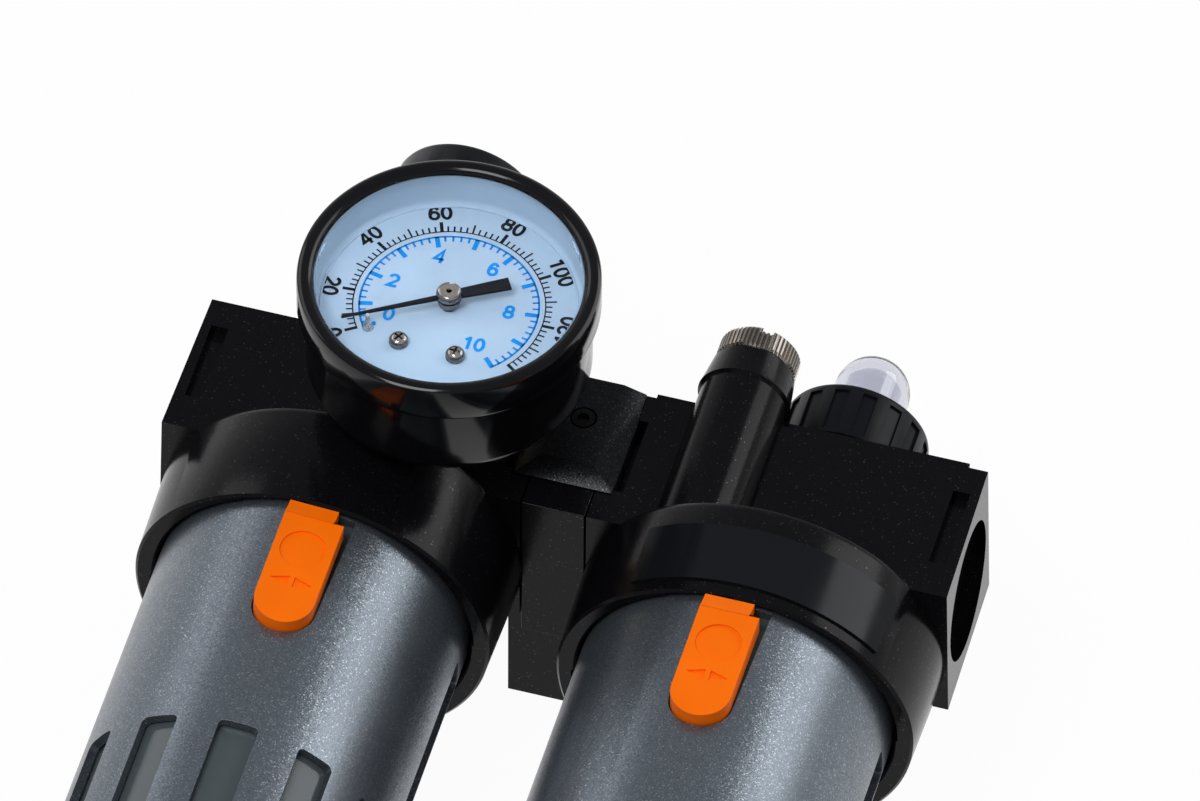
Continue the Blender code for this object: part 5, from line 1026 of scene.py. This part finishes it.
def carried_nodes():
    """CAD solids whose shape is right keep it and get the finer materials."""
    for mat, names in CARRIED:
        for node in names:
            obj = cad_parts[node]
            for slot in obj.material_slots:
                slot.material = mat
            obj.data.shade_smooth()
            obj.data.set_sharp_from_angle(angle=math.radians(32))


# Stage, lamps and camera

CAMERA_AT = Vector((0.60370, -2.78084, -2.15190))
CAMERA_RIGHT = Vector((0.96178, -0.004673, 0.273786))
CAMERA_DOWN = Vector((0.214167, 0.635861, -0.741494))
CAMERA_AHEAD = Vector((-0.170625, 0.771789, 0.612559))
LENS_MM = 605.85


def camera():
    data = bpy.data.cameras.new("camera")
    data.lens = LENS_MM
    data.sensor_width = 36
    data.clip_start = 0.1
    data.clip_end = 50
    obj = bpy.data.objects.new("camera", data)
    turn = Matrix((CAMERA_RIGHT, -CAMERA_DOWN, -CAMERA_AHEAD)).transposed()
    obj.matrix_world = Matrix.Translation(CAMERA_AT) @ turn.to_4x4()
    bpy.context.scene.collection.objects.link(obj)
    bpy.context.scene.camera = obj


def lamp(name, right, up, toward, size, power):
    """Soft panel placed by its direction from the object, as the camera sees it."""
    target = Vector((0, -0.05, -0.03))
    spot = target + CAMERA_RIGHT * right - CAMERA_DOWN * up - CAMERA_AHEAD * toward
    data = bpy.data.lights.new(name, 'AREA')
    data.shape = 'RECTANGLE'
    data.size, data.size_y = size
    data.energy = power
    obj = bpy.data.objects.new(name, data)
    obj.location = spot
    obj.rotation_euler = (target - spot).to_track_quat('-Z', 'Y').to_euler()
    bpy.context.scene.collection.objects.link(obj)


def backdrop():
    """Plain pale wall behind the part, seen from its front side only."""
    bm = bmesh.new()
    half, behind = 3.0, 1.5 * mm
    bm.faces.new([bm.verts.new((x, behind, z)) for x, z in ((-half, -half), (half, -half), (half, half),
                                                            (-half, half))])
    mesh = bpy.data.meshes.new("pale_wall")
    bm.to_mesh(mesh)
    bm.free()
    wall = bpy.data.objects.new("pale_wall", mesh)
    bpy.context.scene.collection.objects.link(wall)
    mat, nodes, links, shader = new_material("pale_wall")
    shader.inputs["Base Color"].default_value = (0.85, 0.85, 0.86, 1)
    shader.inputs["Roughness"].default_value = 0.9
    white = nodes.new("ShaderNodeEmission")
    pale = mix_shaders(nodes, links, 0.96, shader.outputs["BSDF"], white.outputs["Emission"])
    through = nodes.new("ShaderNodeBsdfTransparent")
    side = nodes.new("ShaderNodeNewGeometry")
    front = reckon(nodes, links, 'SUBTRACT', 1.0, side.outputs["Backfacing"])
    shown = reckon(nodes, links, 'MULTIPLY', seen_ray(nodes, links), front)
    mix = mix_shaders(nodes, links, shown, through.outputs["BSDF"], pale)
    links.new(mix, nodes["Material Output"].inputs["Surface"])
    mesh.materials.append(mat)


def seen_ray(nodes, links, mirrored=None):
    """1 where a ray comes from the camera, a mirror or a clear body; mirrored scales the second."""
    path = nodes.new("ShaderNodeLightPath")
    glossy = path.outputs["Is Glossy Ray"]
    if mirrored is not None:
        glossy = reckon(nodes, links, 'MULTIPLY', glossy, mirrored)
    total = path.outputs["Is Camera Ray"]
    for source in (path.outputs["Is Transmission Ray"], glossy):
        total = reckon(nodes, links, 'MAXIMUM', total, source)
    return total


def studio():
    """World that mirrors see white behind the part and dimmer in front, and three soft panels."""
    world = bpy.data.worlds.new("studio")
    world.use_nodes = True
    nodes, links = world.node_tree.nodes, world.node_tree.links
    plain = nodes["Background"]
    plain.inputs["Color"].default_value = (0.95, 0.97, 1, 1)
    plain.inputs["Strength"].default_value = 0.38
    white = nodes.new("ShaderNodeBackground")
    white.inputs["Color"].default_value = (1, 1, 1, 1)
    white.inputs["Strength"].default_value = 1.0
    place = nodes.new("ShaderNodeTexCoord")
    parts = nodes.new("ShaderNodeSeparateXYZ")
    links.new(place.outputs["Generated"], parts.inputs["Vector"])
    behind = nodes.new("ShaderNodeMapRange")
    behind.inputs["From Min"].default_value = -0.45
    behind.inputs["From Max"].default_value = 0.25
    links.new(parts.outputs["Y"], behind.inputs["Value"])
    seen = seen_ray(nodes, links, behind.outputs["Result"])
    mix = mix_shaders(nodes, links, seen, plain.outputs["Background"], white.outputs["Background"])
    links.new(mix, nodes["World Output"].inputs["Surface"])
    bpy.context.scene.world = world
    bpy.context.scene.view_settings.view_transform = 'Standard'
    lamp("side_panel", 0.95, 0.72, 0.13, (0.55, 0.9), 4.4)
    lamp("front_panel", -0.35, 0.39, 1.17, (0.5, 0.5), 8)
    lamp("left_panel", -0.75, 0.75, 0.1, (0.4, 0.8), 1.7)


castings()
bracket_and_clamp()
for prefix, place, turned, drained in (("filter", REGULATOR, GUARD_SET, True),
                                       ("lubricator", LUBRICATOR, 0.0, False)):
    guard_and_button(prefix, place, turned)
    bowl_piece(prefix, place, drained)
gauge_case()
gauge_dial()
gauge_pointer()
knob()
plug()
sight_dome()
carried_nodes()
camera()
backdrop()
studio()
